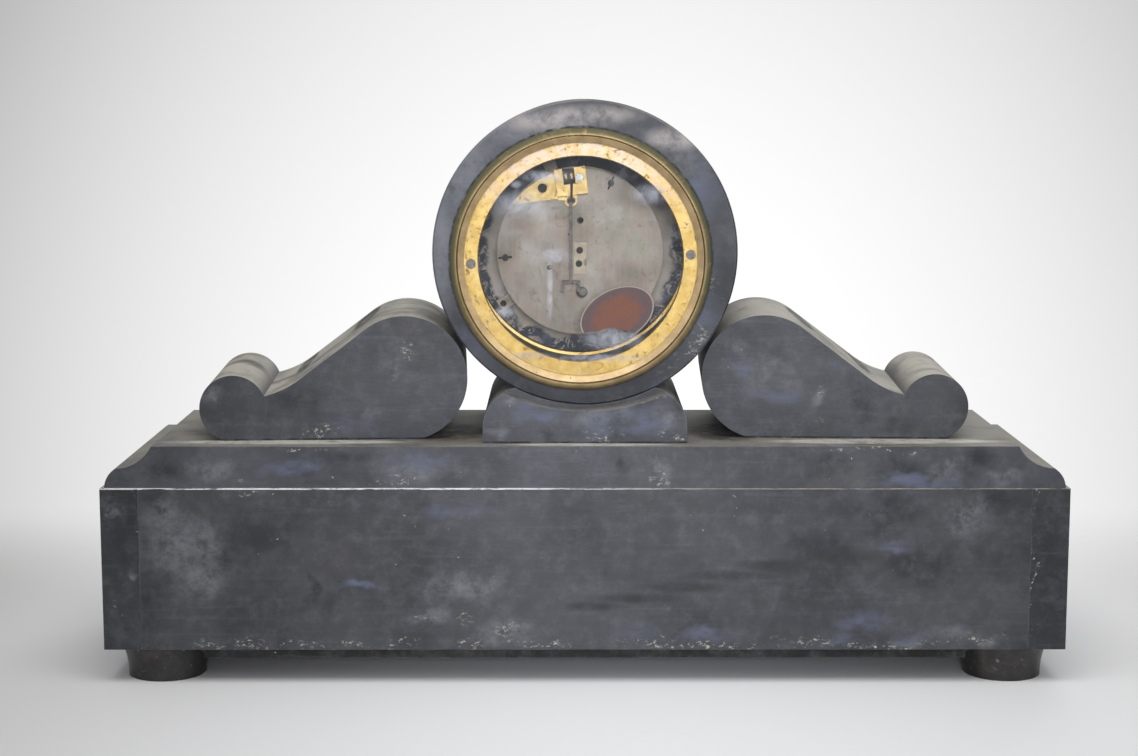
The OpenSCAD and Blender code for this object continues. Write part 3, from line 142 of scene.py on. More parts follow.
def slate(name, shift, dark="#36373a", light="#4a4b4e", face=0.0, stains=(), hazes=(), blooms=(),
          crumbs=(), joints=(), dust=0.7, dust_tone="#8d897e", arris=0.0006, scuffed=(), worn=(),
          extra=()):
    """Honed slate: cloudy, wiped and stained, with plaster in its joints and dust on top.

    stains, hazes, blooms and crumbs are marks on the face, scuffed and worn are marks on the top.
    joints are lines of plaster or dirt, and extra are further masks, each with size and tone.
    """
    made, tree, surface, place, loose = begin(name)
    clouds = patches(tree, place, 0.06, 0.3, 0.72, detail=6, shift=shift)
    base = paint(tree, colour(dark), [(clouds, light)])
    mottle = patches(tree, place, 0.009, 0.42, 0.75, within=0.35, detail=8, rough=0.72,
                     shift=shift + 1)
    wiped = patches(tree, place, 0.022, 0.5, 0.75, within=0.5, detail=5, squeeze=(0.22, 1, 1),
                    shift=shift + 2)
    rubbed = patches(tree, place, 0.003, 0.5, 0.85, within=0.1, detail=4, squeeze=(0.05, 0.4, 1),
                     shift=shift + 3)
    brown = patches(tree, place, 0.08, 0.52, 0.8, within=0.25, shift=shift + 4)
    black = patches(tree, loose, 0.04, 0.52, 0.74, within=0.6, rough=0.72, detail=8,
                    shift=shift + 5)
    bloom = patches(tree, place, 0.035, 0.55, 0.8, within=0.3, rough=0.7, shift=shift + 6)
    layers = [(mottle, "#6b6c70"), (wiped, "#3a3b40"), (rubbed, "#8f9096"), (brown, "#5d564d"),
              (black, "#2c2d31"), (bloom, "#5d5f67")]

    # Black stains, pale hazes, bluish bloom and cream crumbs of plaster, where the real ones are
    for spots, size, low, high, offset, tone, cloudy in (
            (stains, 0.012, 0.30, 0.60, 7, "#2e2f33", {"rough": 0.7}),
            (hazes, 0.008, 0.33, 0.66, 8, "#6c6d71", {"rough": 0.76, "detail": 8}),
            (blooms, 0.010, 0.30, 0.70, 9, "#5b6072", {"squeeze": (0.4, 1, 1)}),
            (crumbs, 0.0018, 0.54, 0.62, 10, "#b3afa3", {"rough": 0.78, "squeeze": (0.6, 1, 1)})):
        if spots:
            spread = marks(tree, loose, face, spots)
            layers.append((patches(tree, place, size, low, high, within=spread,
                                   shift=shift + offset, **cloudy), tone))

    # White flecks, in about one cell in fifteen of a 4 mm pattern
    cells = add(tree, "TexVoronoi", {"Vector": loose, "Scale": 1 / 0.004})
    picked = add(tree, "SeparateColor", (cells.node.outputs["Color"],))
    picked = add(tree, "MapRange", (picked, 0.92, 0.95))
    speck = add(tree, "MapRange", (cells, 0.16, 0.06, 0.0, picked))
    layers.append((patches(tree, place, 0.05, 0.5, 0.65, within=speck, shift=shift + 11),
                   "#b9b7b2"))

    # A joint is given by its height, half height, strength and tone, then by where along the
    # clock it starts to show and where it shows in full
    for level, reach, strength, tone, start, stop in joints:
        height = add(tree, "SeparateXYZ", (place,))
        away = add(tree, "Math", (height.node.outputs["Z"], -level), operation="ADD")
        away = add(tree, "Math", (away,), operation="ABSOLUTE")
        near = add(tree, "MapRange", (away, reach, 0.4 * reach, 0.0, strength))
        along = add(tree, "MapRange", (height, start, stop))
        near = add(tree, "Math", (near, along), operation="MULTIPLY")
        layers.append((patches(tree, place, 0.005, 0.38, 0.54, within=near, rough=0.75,
                               squeeze=(0.3, 1, 1), shift=shift), tone))
    for mask, size, tone in extra:
        layers.append((patches(tree, place, size, 0.27, 0.62, within=mask(tree, place),
                               rough=0.66, shift=shift), tone))
    base = paint(tree, base, layers)

    # Dust lies on what faces up, swept thin in places and spilt with something brown in others
    facing = add(tree, "NewGeometry").node.outputs["Normal"]
    up = add(tree, "SeparateXYZ", (facing,)).node.outputs["Z"]
    up = add(tree, "MapRange", (up, 0.25, 0.9, 0.0, dust), interpolation_type="SMOOTHSTEP")
    film = patches(tree, place, 0.025, 0.15, 0.6, within=up, rough=0.66, squeeze=(1, 0.35, 1),
                   shift=shift + 12)
    swept = patches(tree, place, 0.03, 0.5, 0.72, within=up, squeeze=(0.5, 1, 1),
                    shift=shift + 13)
    spilt = patches(tree, loose, 0.03, 0.56, 0.72, within=up, shift=shift + 14)
    base = paint(tree, base, [(film, dust_tone), (swept, "#5a5752"), (spilt, "#7d7363")])
    for spots, tone in ((scuffed, "#c4c0b8"), (worn, "#3a3835")):
        if spots:
            spread = add(tree, "Math", (marks_above(tree, place, spots), up),
                         operation="MULTIPLY")
            spread = patches(tree, place, 0.008, 0.25, 0.6, within=spread, rough=0.7,
                             shift=shift + 16)
            base = paint(tree, base, [(spread, tone)])

    # Arrises are rounded over by the width arris, and rubbed pale in places, a pale line that is
    # partly wear and partly painted highlight
    soft = add(tree, "Bevel", (arris,), samples=4)
    match = add(tree, "VectorMath", (soft, facing), operation="DOT_PRODUCT")
    edge = add(tree, "MapRange", (match, 0.995, 0.93, 0.0, 0.35))
    edge = patches(tree, place, 0.01, 0.35, 0.6, within=edge, shift=shift + 15)
    base = paint(tree, base, [(edge, "#a3a29f")])
    tree.links.new(base, surface.inputs["Base Color"])

    # A honed face is half dull, duller where dust or bloom lies. Its low specular keeps the soft
    # lights from veiling the dark stone
    dull = add(tree, "Math", (film, 0.3), operation="MULTIPLY")
    dull = add(tree, "Math", (bloom, 0.5, dull), operation="MULTIPLY_ADD")
    dull = add(tree, "Math", (dull, 0.5), operation="ADD")
    tree.links.new(dull, surface.inputs["Roughness"])
    surface.inputs["Specular IOR Level"].default_value = 0.28
    # Honing marks are finer than 0.1 mm, and are drawn 1.6 mm coarse so that they show
    grain = patches(tree, place, 0.0016, 0.0, 1.0, detail=6, rough=0.7, squeeze=(0.3, 1, 1))
    relief = add(tree, "Bump", {"Height": grain, "Distance": 0.00008, "Normal": soft})
    tree.links.new(relief, surface.inputs["Normal"])
    return made


def dress(made, *names):
    """Gives CAD pieces their finish."""
    for name in names:
        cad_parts[name].material_slots[0].material = made


back_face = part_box("base_back_slab")[1][1]
joint_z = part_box("plinth")[0][2]
# White plaster squeezed out under the plinth, most of it left of the middle seen from behind, and
# a thinner brown line in the other half
long_joint = (
    (joint_z, 0.00055, 1.0, "#f2eeee", -0.07, 0.05),
    (joint_z, 0.0004, 0.55, "#b9ae98", 0.02, -0.1))


def wiping(tree, place):
    """One long dark wipe that rises towards the end under the left scroll."""
    return marks(tree, place, back_face,
                 ((-4, 41, 16, 3), (-26, 45, 22, 3), (-50, 51, 24, 3), (-76, 57, 24, 3),
                  (-102, 62, 24, 4), (-130, 66, 22, 4)))


# Slate honed flat: blue-grey, smeared, with black stains, bluish bloom and cream crumbs low down
dress(slate("slate_back_slab", 0.0, face=back_face, joints=long_joint,
            extra=((wiping, 0.03, "#2c2d30"),),
            stains=((166, 80, 22, 14), (182, 75, 9, 8), (187, 66, 7, 8), (141, 51, 3, 8),
                    (-152, 90, 24, 13), (-172, 64, 25, 13), (-205, 97, 22, 12), (-120, 70, 20, 8),
                    (220, 95, 10, 9), (222, 40, 6, 20)),
            hazes=((205, 73, 22, 20), (215, 88, 13, 9), (198, 54, 12, 15), (62, 51, 26, 9),
                   (83, 36, 14, 5), (41, 27, 14, 8), (-189, 27, 15, 5), (-165, 22, 10, 4),
                   (-209, 20, 8, 4), (-195, 88, 14, 12)),
            blooms=((-27, 27, 12, 5), (-62, 27, 12, 5), (-136, 24, 14, 5), (-142, 31, 12, 6),
                    (-165, 26, 12, 4), (-158, 74, 12, 4), (116, 52, 12, 3), (60, 92, 20, 5)),
            crumbs=((190, 20, 12, 3), (175, 22, 12, 3), (150, 20, 16, 2), (20, 20, 22, 2),
                    (-60, 20, 40, 2), (-150, 20, 40, 2), (124, 19, 14, 2), (93, 20, 9, 3),
                    (59, 20, 10, 3), (-119, 23, 10, 3), (-32, 23, 16, 2), (62, 34, 5, 3),
                    (84, 37, 5, 2), (-205, 22, 12, 3), (173, 102, 3, 2), (229, 102, 3, 2),
                    (40, 28, 7, 4), (-165, 20, 12, 3))),
      "base_back_slab")
# End slabs show their sawn edge from behind: darker, as painted shade where the light falls off
# towards the ends, and chalky along the corner joints
dress(slate("slate_end_slabs", 4.0, dark="#29292b", light="#38393b", face=back_face,
            joints=long_joint,
            stains=((-239, 73, 10, 2), (-239, 57, 11, 2), (236, 70, 6, 20)),
            hazes=((233, 60, 3, 3), (240, 90, 6, 4)),
            crumbs=((231, 102, 3, 2), (-230, 101, 1, 3), (229.5, 92, 0.8, 2),
                    (-229.3, 60, 0.6, 36))),
      "base_left_slab", "base_right_slab")
# The front slab is of the same honed slate, cleaner, with no marks of its own
dress(slate("slate_front_slab", 9.0), "base_front_slab")

# Bottom board
# A sawn slate board that closes the base from below. Its narrow ends are let into the feet, whose
# screws hold it.

# Sawn slate left rough: painted near black for the shade under the clock, with hardly any dust on
# it
dress(slate("slate_sawn", 14.0, dark="#0f0f0e", light="#1a1918", dust=0.3), "base_board")

# Feet and their screws
# Four feet turned from slate and waxed black. Each is held by a slotted steel screw through its
# middle.

made, tree, surface, place, loose = begin("slate_turned_waxed")
# Near-black turned stone with a dull shine, brown where the wax has gone, and fine turning marks
mottle = patches(tree, place, 0.014, 0.35, 0.7, rough=0.65)
worn = patches(tree, loose, 0.008, 0.55, 0.7, within=0.6, rough=0.7, shift=3)
pale = patches(tree, loose, 0.003, 0.64, 0.7, within=0.6, shift=5)
base = paint(tree, colour("#1d1b1a"), [(mottle, "#343130"), (worn, "#4a4138"), (pale, "#8b857c")])
tree.links.new(base, surface.inputs["Base Color"])
tree.links.new(add(tree, "MapRange", (worn, 0, 1, 0.34, 0.6)), surface.inputs["Roughness"])
turned = patches(tree, place, 0.0012, 0.0, 1.0, detail=3, squeeze=(0.2, 0.2, 3))
relief = add(tree, "Bump", {"Height": turned, "Distance": 0.00005})
tree.links.new(relief, surface.inputs["Normal"])
dress(made, "foot_front_left", "foot_front_right", "foot_back_left", "foot_back_right")


def metal(name, dark, light, rough, size=0.012, metallic=1.0, spots="#4a3526", spotted=0.0,
          black_from=None, tint=None):
    """Metal whose tone drifts between two colours, brushed, with spots of rust or tarnish.

    black_from is the depth behind which it is blackened, and tint a mask with its own tone.
    """
    made, tree, surface, place, loose = begin(name)
    drift = patches(tree, place, size, 0.3, 0.7, rough=0.62)
    # Real scratches are finer; 1.2 mm is the finest that shows
    scratch = patches(tree, place, 0.0012, 0.35, 0.8, within=0.25, detail=4, shift=1)
    fleck = patches(tree, loose, 0.4 * size, 0.56, 0.66, within=spotted, rough=0.7, shift=2)
    base = paint(tree, colour(dark), [(drift, light), (scratch, light), (fleck, spots)])
    if tint:
        mask, tone = tint
        mask = patches(tree, place, size, 0.3, 0.6, within=mask(tree, place), shift=4)
        base = paint(tree, base, [(mask, tone)])
    if black_from is not None:
        back = add(tree, "SeparateXYZ", (place,)).node.outputs["Y"]
        behind = add(tree, "MapRange", (back, black_from - 0.0002, black_from))
        base = paint(tree, base, [(behind, "#1d1a18")])
    tree.links.new(base, surface.inputs["Base Color"])
    dull = add(tree, "Math", (fleck, 0.35, rough), operation="MULTIPLY_ADD")
    tree.links.new(dull, surface.inputs["Roughness"])
    surface.inputs["Metallic"].default_value = metallic
    relief = add(tree, "Bump", {"Height": scratch, "Distance": 0.00002})
    tree.links.new(relief, surface.inputs["Normal"])
    return made


# Bright steel gone grey, with rust in its pits
old_steel = metal("steel_dulled", "#6b6a68", "#93928f", 0.38, size=0.006, spotted=0.8)
dress(old_steel, "foot_screws")

# Plinth
# One slab of slate with a hollow over a round moulding planed along its front and ends, bedded on
# the base in plaster that shows as a pale broken line.

# Honed slate, dusty on top, with pale scuffs beside the scrolls and darker patches of painted
# shade before them
dress(slate("slate_plinth", 21.0, dark="#3a3b3e", light="#505156", face=back_face,
            joints=long_joint, dust=0.8,
            stains=((-125, 116, 14, 7), (-160, 112, 16, 8), (-200, 115, 12, 9), (120, 118, 12, 6),
                    (215, 112, 12, 7), (-18, 112, 3, 5)),
            hazes=((190, 112, 16, 8), (90, 112, 16, 6), (-40, 113, 5, 8), (-215, 108, 12, 5),
                   (-185, 112, 10, 6)),
            blooms=((150, 114, 20, 5), (80, 116, 22, 5), (-170, 106, 24, 4)),
            crumbs=((-9, 124, 12, 1.2), (-40, 116, 1, 8), (97, 107, 12, 1.5), (-37, 108, 6, 2),
                    (172, 103.4, 4, 1.5), (150, 124.3, 20, 0.8), (-150, 124.3, 30, 0.8)),
            scuffed=((155, 62, 62, 7), (-155, 60, 62, 8), (0, 70, 45, 4)),
            # The worn marks here are darker patches of painted shade before the scrolls
            worn=((72, 30, 22, 30), (-75, 30, 20, 30))),
      "plinth")

# Scroll consoles
# Two solid slate scrolls, sawn to outline and honed, cemented to the plinth either side of the
# drum. The dust on their slopes is worn through in straight strips.

foot_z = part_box("scroll_right")[0][2] + 0.0003
# Dark line of painted shade, 0.9 mm either way, where scrolls and saddle stand on the plinth
foot_shade_line = ((foot_z, 0.0009, 0.95, "#0e0e0f", -1, -0.9),)
# Honed slate under a thick pale dust, smeared and crumbly where the drum nearly touches
dress(slate("slate_scroll_right", 27.0, face=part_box("scroll_right")[1][1], joints=foot_shade_line,
            dust=0.97, dust_tone="#a8a498", arris=0.0002,
            stains=((88, 177, 5, 7), (84, 160, 6, 9), (150, 145, 20, 8)),
            hazes=((101, 161, 10, 12), (96, 174, 8, 8), (104, 148, 6, 6), (192, 149, 7, 5),
                   (110, 140, 14, 6)),
            blooms=((114, 132, 20, 5), (96, 132, 12, 5)),
            crumbs=((140, 127, 6, 3), (135, 130, 8, 3), (100, 158, 7, 9), (90, 172, 6, 8)),
            worn=((152, -18, 5, 34), (119, -18, 7, 32), (136, -50, 16, 2), (136, 14, 16, 2))),
      "scroll_right")
dress(slate("slate_scroll_left", 33.0, face=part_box("scroll_left")[1][1], joints=foot_shade_line,
            dust=0.97, dust_tone="#a8a498", arris=0.0002,
            stains=((-94, 180, 8, 7), (-144, 146, 8, 14), (-162, 130, 9, 5), (-100, 171, 6, 5)),
            hazes=((-99, 163, 9, 5), (-86, 171, 8, 5), (-123, 147, 4, 5), (-95, 155, 16, 8)),
            blooms=((-81, 163, 10, 8), (-99, 147, 12, 7), (-130, 160, 10, 6)),
            crumbs=((-123, 133, 4, 1.5), (-107, 126, 6, 1.5), (-123, 150, 3, 3),
                    (-72, 172, 4, 9)),
            worn=((-152, -18, 5, 34), (-119, -18, 7, 32), (-136, -50, 16, 2), (-136, 14, 16, 2))),
      "scroll_left")

# Saddle, drum, bolt and nut
# The drum is a turned block of slate, bored through, that sits in the hollow of the saddle. An
# iron bolt from inside the bore holds drum and saddle down on the plinth.

# Honed slate, wiped pale in the middle, with plaster crumbs along its foot
dress(slate("slate_saddle", 39.0, dark="#3a3b3f", light="#4f5055", face=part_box("saddle")[1][1],
            joints=foot_shade_line, dust=0.75,
            stains=((18, 129, 6, 4), (-48, 140, 4, 8)),
            hazes=((40, 148, 4, 3), (-8, 137, 14, 9), (46, 133, 5, 4), (-40, 138, 8, 6)),
            blooms=((-20, 134, 20, 8), (25, 140, 14, 6)),
            crumbs=((-10, 128, 8, 3), (-41, 131, 4, 2), (-33, 147, 9, 3), (-47, 128, 3, 3))),
      "saddle")

drum_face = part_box("drum")[1][1]
bore_r = 0.061
# The bore, the back door and the movement share one axis, a little below and beside the drum's
door_low, door_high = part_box("back_door_ring")
axis = (door_low + door_high) / 2
door_r = (door_high[0] - door_low[0]) / 2


def from_axis(tree, place):
    """Distance of a point from the axis on which dial, doors and movement are turned."""
    flat = add(tree, "VectorMath", (place, (1, 0, 1)), operation="MULTIPLY")
    return add(tree, "VectorMath", (flat, (axis[0], 0, axis[2])), operation="DISTANCE")


def ring_mask(inner, outer, soft=0.0004):
    """A ring about the axis, soft at both edges."""
    def mask(tree, place):
        away = from_axis(tree, place)
        inside = add(tree, "MapRange", (away, inner - soft, inner + soft, 0.0, 1.0))
        beyond = add(tree, "MapRange", (away, outer - soft, outer + soft, 1.0, 0.0))
        return add(tree, "Math", (inside, beyond), operation="MULTIPLY")
    return mask


def drum_shaded(tree, place):
    """Painted shade over the drum's lower half and flanks."""
    return marks(tree, place, drum_face, ((0, 155, 90, 34), (-76, 215, 18, 55), (70, 180, 20, 30)))


def drum_lit_upper_left(tree, place):
    """Painted light on its upper left seen from behind, paler grey."""
    return marks(tree, place, drum_face, ((60, 262, 18, 26), (74, 225, 8, 30), (30, 285, 34, 9)))


def drum_scuffed(tree, place):
    """Scuffs along the top, nearly white."""
    return marks(tree, place, drum_face, ((-2, 292, 26, 5), (14, 289, 30, 6), (-45, 280, 14, 6)))


# Turned slate, bluish in places, paler at its upper left as painted light and darker below as
# painted shade, near black as painted shade where the door touches and in the bore
dress(slate("slate_drum", 45.0, dark="#3c3d41", light="#5b5d63", face=drum_face, dust=0.7,
            stains=((68, 251, 3, 7), (38, 268, 12, 4), (58, 268, 8, 5), (-72, 205, 4, 20),
                    (20, 146, 20, 5)),
            hazes=((0, 290, 18, 4), (-43, 279, 14, 7), (38, 286, 24, 6), (-50, 268, 14, 9),
                   (60, 255, 7, 12)),
            blooms=((-59, 254, 10, 16), (64, 225, 5, 24), (55, 180, 10, 14), (-62, 190, 6, 14),
                    (-30, 155, 20, 6)),
            crumbs=((-39, 162, 12, 6), (-59, 177, 7, 7), (-69, 203, 4, 12), (-54, 171, 10, 8),
                    (33, 283, 10, 1.5), (-14, 147, 12, 2), (68, 262, 2, 3)),
            extra=((drum_shaded, 0.03, "#2f3034"),
                   (drum_lit_upper_left, 0.02, "#6f7076"),
                   (drum_scuffed, 0.012, "#a8a19c"),
                   # Near-black painted shade in a ring where the door meets the drum, and over the
                   # bore
                   (ring_mask(door_r - 0.001, door_r + 0.0009), 0.004, "#121214"),
                   (ring_mask(-0.01, bore_r + 0.0004), 0.004, "#161922"))),
      "drum")
# Black iron with brown rust
black_iron = metal("iron_rusted", "#1f1c1a", "#2e2825", 0.6, metallic=0.7, spots="#5a3822",
                   spotted=0.8)
dress(black_iron, "drum_bolt", "drum_nut")

# Front ring, dial plate and dial
# A pressed and gilt ring pushed into the drum, a brass plate behind it and a fired enamel dial.
# The numerals are painted on the white in black enamel and fired again.

# Gilt brass, mellow gold, its lacquer gone brown in patches
gilt = metal("brass_gilt", "#dcae55", "#f2d28a", 0.4, size=0.02, spots="#9a7437", spotted=0.5)
dress(gilt, "front_ring", "front_hinge_pin", "hand_nut")

made, tree, surface, place, loose = begin("brass_plate_painted_shade")
# The plate behind the dial, brown where light reaches it, and blue-black with pale scratches at
# its top and round its rim. The blue-black is painted shade, round the rim mixed with dark flecks
tone = patches(tree, place, 0.012, 0.3, 0.7)
height = add(tree, "SeparateXYZ", (loose,)).node.outputs["Z"]
# Painted shade: blue-black over the top of the plate, where the rings above shadow it
top = add(tree, "MapRange", (height, axis[2] + 0.018, axis[2] + 0.03),
          interpolation_type="SMOOTHSTEP")
nicks = patches(tree, loose, 0.0025, 0.6, 0.68, within=0.7, rough=0.7, squeeze=(1, 1, 0.5),
                shift=2)
# Patchy blue-black round the rim, painted shade mixed with dark flecks
rim_in, rim_out = 0.0528, 0.075
rim = ring_mask(rim_in, rim_out, soft=0.0012)(tree, loose)
rim = patches(tree, loose, 0.004, 0.36, 0.5, within=rim, rough=0.7, shift=4)
base = paint(tree, colour("#b3a594"), [(tone, "#cfc1ae"), (top, "#1a2138"), (rim, "#232a3f"),
                                       (nicks, "#8e94a8")])
tree.links.new(base, surface.inputs["Base Color"])
surface.inputs["Metallic"].default_value = 0.1
surface.inputs["Roughness"].default_value = 0.6
dress(made, "dial_plate")

made, tree, surface, place, loose = begin("enamel_white")
# Fired enamel: warm white and glossy, a little uneven, with tiny pits
tone = patches(tree, place, 0.03, 0.2, 0.8)
pits = patches(tree, place, 0.0007, 0.7, 0.74, within=0.5, shift=4)
base = paint(tree, colour("#ece7da"), [(tone, "#f4f0e6"), (pits, "#8d8474")])
tree.links.new(base, surface.inputs["Base Color"])
surface.inputs["Roughness"].default_value = 0.12
wavy = patches(tree, place, 0.01, 0.0, 1.0, detail=2)
relief = add(tree, "Bump", {"Height": wavy, "Distance": 0.0001})
tree.links.new(relief, surface.inputs["Normal"])
dress(made, "dial")

made, tree, surface, place, loose = begin("enamel_black")
# Numerals fired into the white: black with a slight gloss, thin in places
thin = patches(tree, place, 0.002, 0.45, 0.8, within=0.4)
tree.links.new(paint(tree, colour("#121214"), [(thin, "#3b3a3c")]), surface.inputs["Base Color"])
surface.inputs["Roughness"].default_value = 0.25

dial_low, dial_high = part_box("dial")
dial_r = (dial_high[0] - dial_low[0]) / 2
# How far the black enamel stands out of the white and reaches into it, and how wide its lines are
proud, sunk = 0.00004, 0.00002
broad, fine, hairline = 0.0013, 0.0004, 0.0002


def stroke(mesh, middle, turn, start, stop, wide, lean=0.0):
    """Adds one painted stroke to the dial, a thin closed box.

    It runs outward from radius start to radius stop. turn is clockwise from twelve, middle is its
    distance beside that radius, and lean is how far each of its ends goes to a side.
    """
    front, back = [], []
    for radius, side, shift in ((start, -1, -lean), (start, 1, -lean), (stop, 1, lean),
                                (stop, -1, lean)):
        flat = Vector((middle + shift + side * wide / 2, 0, radius))
        flat.rotate(Matrix.Rotation(turn, 3, "Y"))
        for face, depth in ((front, -proud), (back, sunk)):
            face.append(mesh.verts.new((axis[0] + flat[0], dial_low[1] + depth,
                                        axis[2] + flat[2])))
    mesh.faces.new(front)
    mesh.faces.new(back[::-1])
    for i in range(4):
        mesh.faces.new((front[i - 1], back[i - 1], back[i], front[i]))


mesh = bmesh.new()
track_in, track_out = dial_r * 0.86, dial_r * 0.90
for minute in range(60):
    stroke(mesh, 0, math.radians(6 * minute), track_in, track_out,
           0.0009 if minute % 5 == 0 else 0.0003)
for radius in (track_in, track_out):
    for part in range(240):
        stroke(mesh, 0, math.radians(1.5 * part), radius - hairline / 2, radius + hairline / 2,
               radius * math.radians(1.52))
chapter_in, chapter_out = dial_r * 0.60, dial_r * 0.80
letter_wide = {"I": 0.0027, "V": 0.0056, "X": 0.0056}
numerals = ("XII", "I", "II", "III", "IIII", "V", "VI", "VII", "VIII", "IX", "X", "XI")
for hour, letters in enumerate(numerals):
    turn = math.radians(30 * hour)
    wide = sum(letter_wide[letter] for letter in letters)
    at = -wide / 2
    for letter in letters:
        middle = at + letter_wide[letter] / 2
        half = letter_wide[letter] * 0.26
        if letter == "I":
            stroke(mesh, middle, turn, chapter_in, chapter_out, broad)
        elif letter == "V":
            stroke(mesh, middle - half, turn, chapter_in, chapter_out, broad, lean=-half)
            stroke(mesh, middle + half, turn, chapter_in, chapter_out, fine, lean=half)
        else:
            stroke(mesh, middle, turn, chapter_in, chapter_out, broad, lean=-2 * half)
            stroke(mesh, middle, turn, chapter_in, chapter_out, fine, lean=2 * half)
        at += letter_wide[letter]
    for radius in (chapter_in, chapter_out):
        stroke(mesh, 0, turn, radius - fine / 2, radius + fine / 2, wide)
bmesh.ops.recalc_face_normals(mesh, faces=mesh.faces)
data = bpy.data.meshes.new("dial_numerals")
mesh.to_mesh(data)
mesh.free()
data.materials.append(made)
numeral_piece = bpy.data.objects.new("dial_numerals", data)
bpy.context.collection.objects.link(numeral_piece)
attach(numeral_piece, "case")

# Steel polished and blued over a flame: deep blue and glossy, a little uneven
blued = metal("steel_blued", "#141a3a", "#1d2850", 0.22, size=0.01)
dress(blued, "hour_hand", "minute_hand")

# Front door
# A cast and gilt ring, hinged on the right of the dial, with a flat glass puttied in from behind.

dress(gilt, "front_door_ring")


def glass(name, haze, face=0.0, glares=()):
    """Thin clear glass with a faint film of grime, thicker in white patches that are painted glare.
    """
    made, tree, surface, place, loose = begin(name)
    # Nearly white, because sight passes four faces of glass
    clear = add(tree, "BsdfTransparent", (colour("#fdfefe"),))
    shine = add(tree, "BsdfGlossy", {"Color": (1, 1, 1, 1), "Roughness": 0.04})
    edge = add(tree, "Fresnel", (1.5,))
    pane = add(tree, "MixShader", (edge, clear, shine))
    film = patches(tree, place, 0.012, 0.45, 0.8, within=haze, rough=0.7)
    # Painted reflection: white patches of glare, laid into the grime film
    if glares:
        glare_patch = marks(tree, place, face, glares)
        glare_patch = patches(tree, loose, 0.006, 0.25, 0.75, within=glare_patch, rough=0.7, shift=2)
        film = add(tree, "Math", (glare_patch, 0.36, film), operation="MULTIPLY_ADD")
    dirt = add(tree, "BsdfDiffuse", (colour("#dcdde6"),))
    whole = add(tree, "MixShader", (film, pane, dirt))
    tree.links.new(whole, tree.nodes["Material Output"].inputs["Surface"])
    return made


# Window glass, clear and clean but for a breath of haze
dress(glass("glass_front", 0.03), "front_glass")

# Back ring, straps and clamp screws
# A gilt ring with an upstanding rim for the door; two steel straps from the front ring end in ears
# behind it, and a screw through the ring into either ear clamps the movement in the case.


def ring_top_highlight(tree, place):
    """Fades in over the upper third of the ring, where a painted highlight lies."""
    height = add(tree, "SeparateXYZ", (place,)).node.outputs["Z"]
    return add(tree, "MapRange", (height, axis[2] + 0.02, axis[2] + 0.052, 0.0, 0.85),
               interpolation_type="SMOOTHSTEP")


# Gilding kept bright behind the glass: freckled straw gold, with a pinkish painted highlight in its
# upper part
ring_gilt = metal("brass_gilt_bright", "#b8954c", "#d3b46e", 0.5, size=0.006, spots="#8f6a3a",
                  spotted=0.6, tint=(ring_top_highlight, "#d3b9a4"))
dress(ring_gilt, "back_ring")
dress(old_steel, "mounting_straps")
# Steel gone brown with rust
rusty_steel = metal("steel_rusted", "#5a544e", "#79726b", 0.5, size=0.003, spots="#54382a",
                    spotted=0.9)
dress(rusty_steel, "clamp_screws")

# Movement
# Two round brass plates are held apart by turned pillars, pinned at the back. The train runs
# between them; the cock, the suspension and the crutch stand on the outside of the back one.

plate_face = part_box("back_plate")[1][1]
made, tree, surface, place, loose = begin("brass_plate_uncleaned")
# Uncleaned sheet brass: dull pinkish brown with greenish and grey clouds, faint upright brush
# marks, drawn 0.9 mm apart so that they show, and black oil round three of its holes
smoke = patches(tree, place, 0.03, 0.3, 0.7, detail=6)
pink = patches(tree, place, 0.02, 0.48, 0.72, within=0.7, shift=2)
green = patches(tree, place, 0.022, 0.52, 0.75, within=0.6, shift=4)
# Painted glare: pale patches on the plate's upper part, where the glass in front shines
pale = marks(tree, loose, plate_face, ((22, 216, 14, 16), (25, 238, 14, 7), (5, 205, 10, 20),
                                       (-14, 240, 10, 10)))
pale = patches(tree, place, 0.012, 0.25, 0.75, within=pale, shift=6)
brushed = patches(tree, place, 0.0009, 0.3, 0.75, within=0.25, detail=4, squeeze=(1, 1, 0.04),
                  shift=7)
dirt = patches(tree, loose, 0.004, 0.56, 0.66, within=0.5, rough=0.72, shift=8)
sinks = marks(tree, place, plate_face, ((2.1, 235.3, 1.9, 1.9), (18.8, 209.7, 1.3, 1.3),
                                        (1.3, 196.4, 3.2, 3.2)))
sinks = add(tree, "MapRange", (sinks, 0.15, 0.45))
base = paint(tree, colour("#8f8272"), [(smoke, "#ab9d8c"), (pink, "#b0917f"), (green, "#8f9170"),
                                       (pale, "#c3bab0"), (brushed, "#c0b3a3"),
                                       (dirt, "#6c5f52"), (sinks, "#2a2523")])
tree.links.new(base, surface.inputs["Base Color"])
surface.inputs["Metallic"].default_value = 0.15
tree.links.new(add(tree, "MapRange", (smoke, 0, 1, 0.55, 0.42)), surface.inputs["Roughness"])
relief = add(tree, "Bump", {"Height": brushed, "Distance": 0.00002})
tree.links.new(relief, surface.inputs["Normal"])
dress(made, "back_plate")
# Brass gone grey-brown with age, with darker blotches
aged = metal("brass_aged", "#85796a", "#a3977f", 0.5, size=0.02, metallic=0.8, spots="#6d6257",
             spotted=0.5)
dress(aged, "front_plate", "movement_brackets", "centre_cock", "barrel", "barrel_cap")
# Steel browned almost black by old oil and rust
dark_steel = metal("steel_browned", "#1d1b1a", "#34312f", 0.5, size=0.004, spots="#4a3526",
                   spotted=0.7)
dress(dark_steel, "pillars", "pillar_pins", "cock_screws", "suspension_spring")
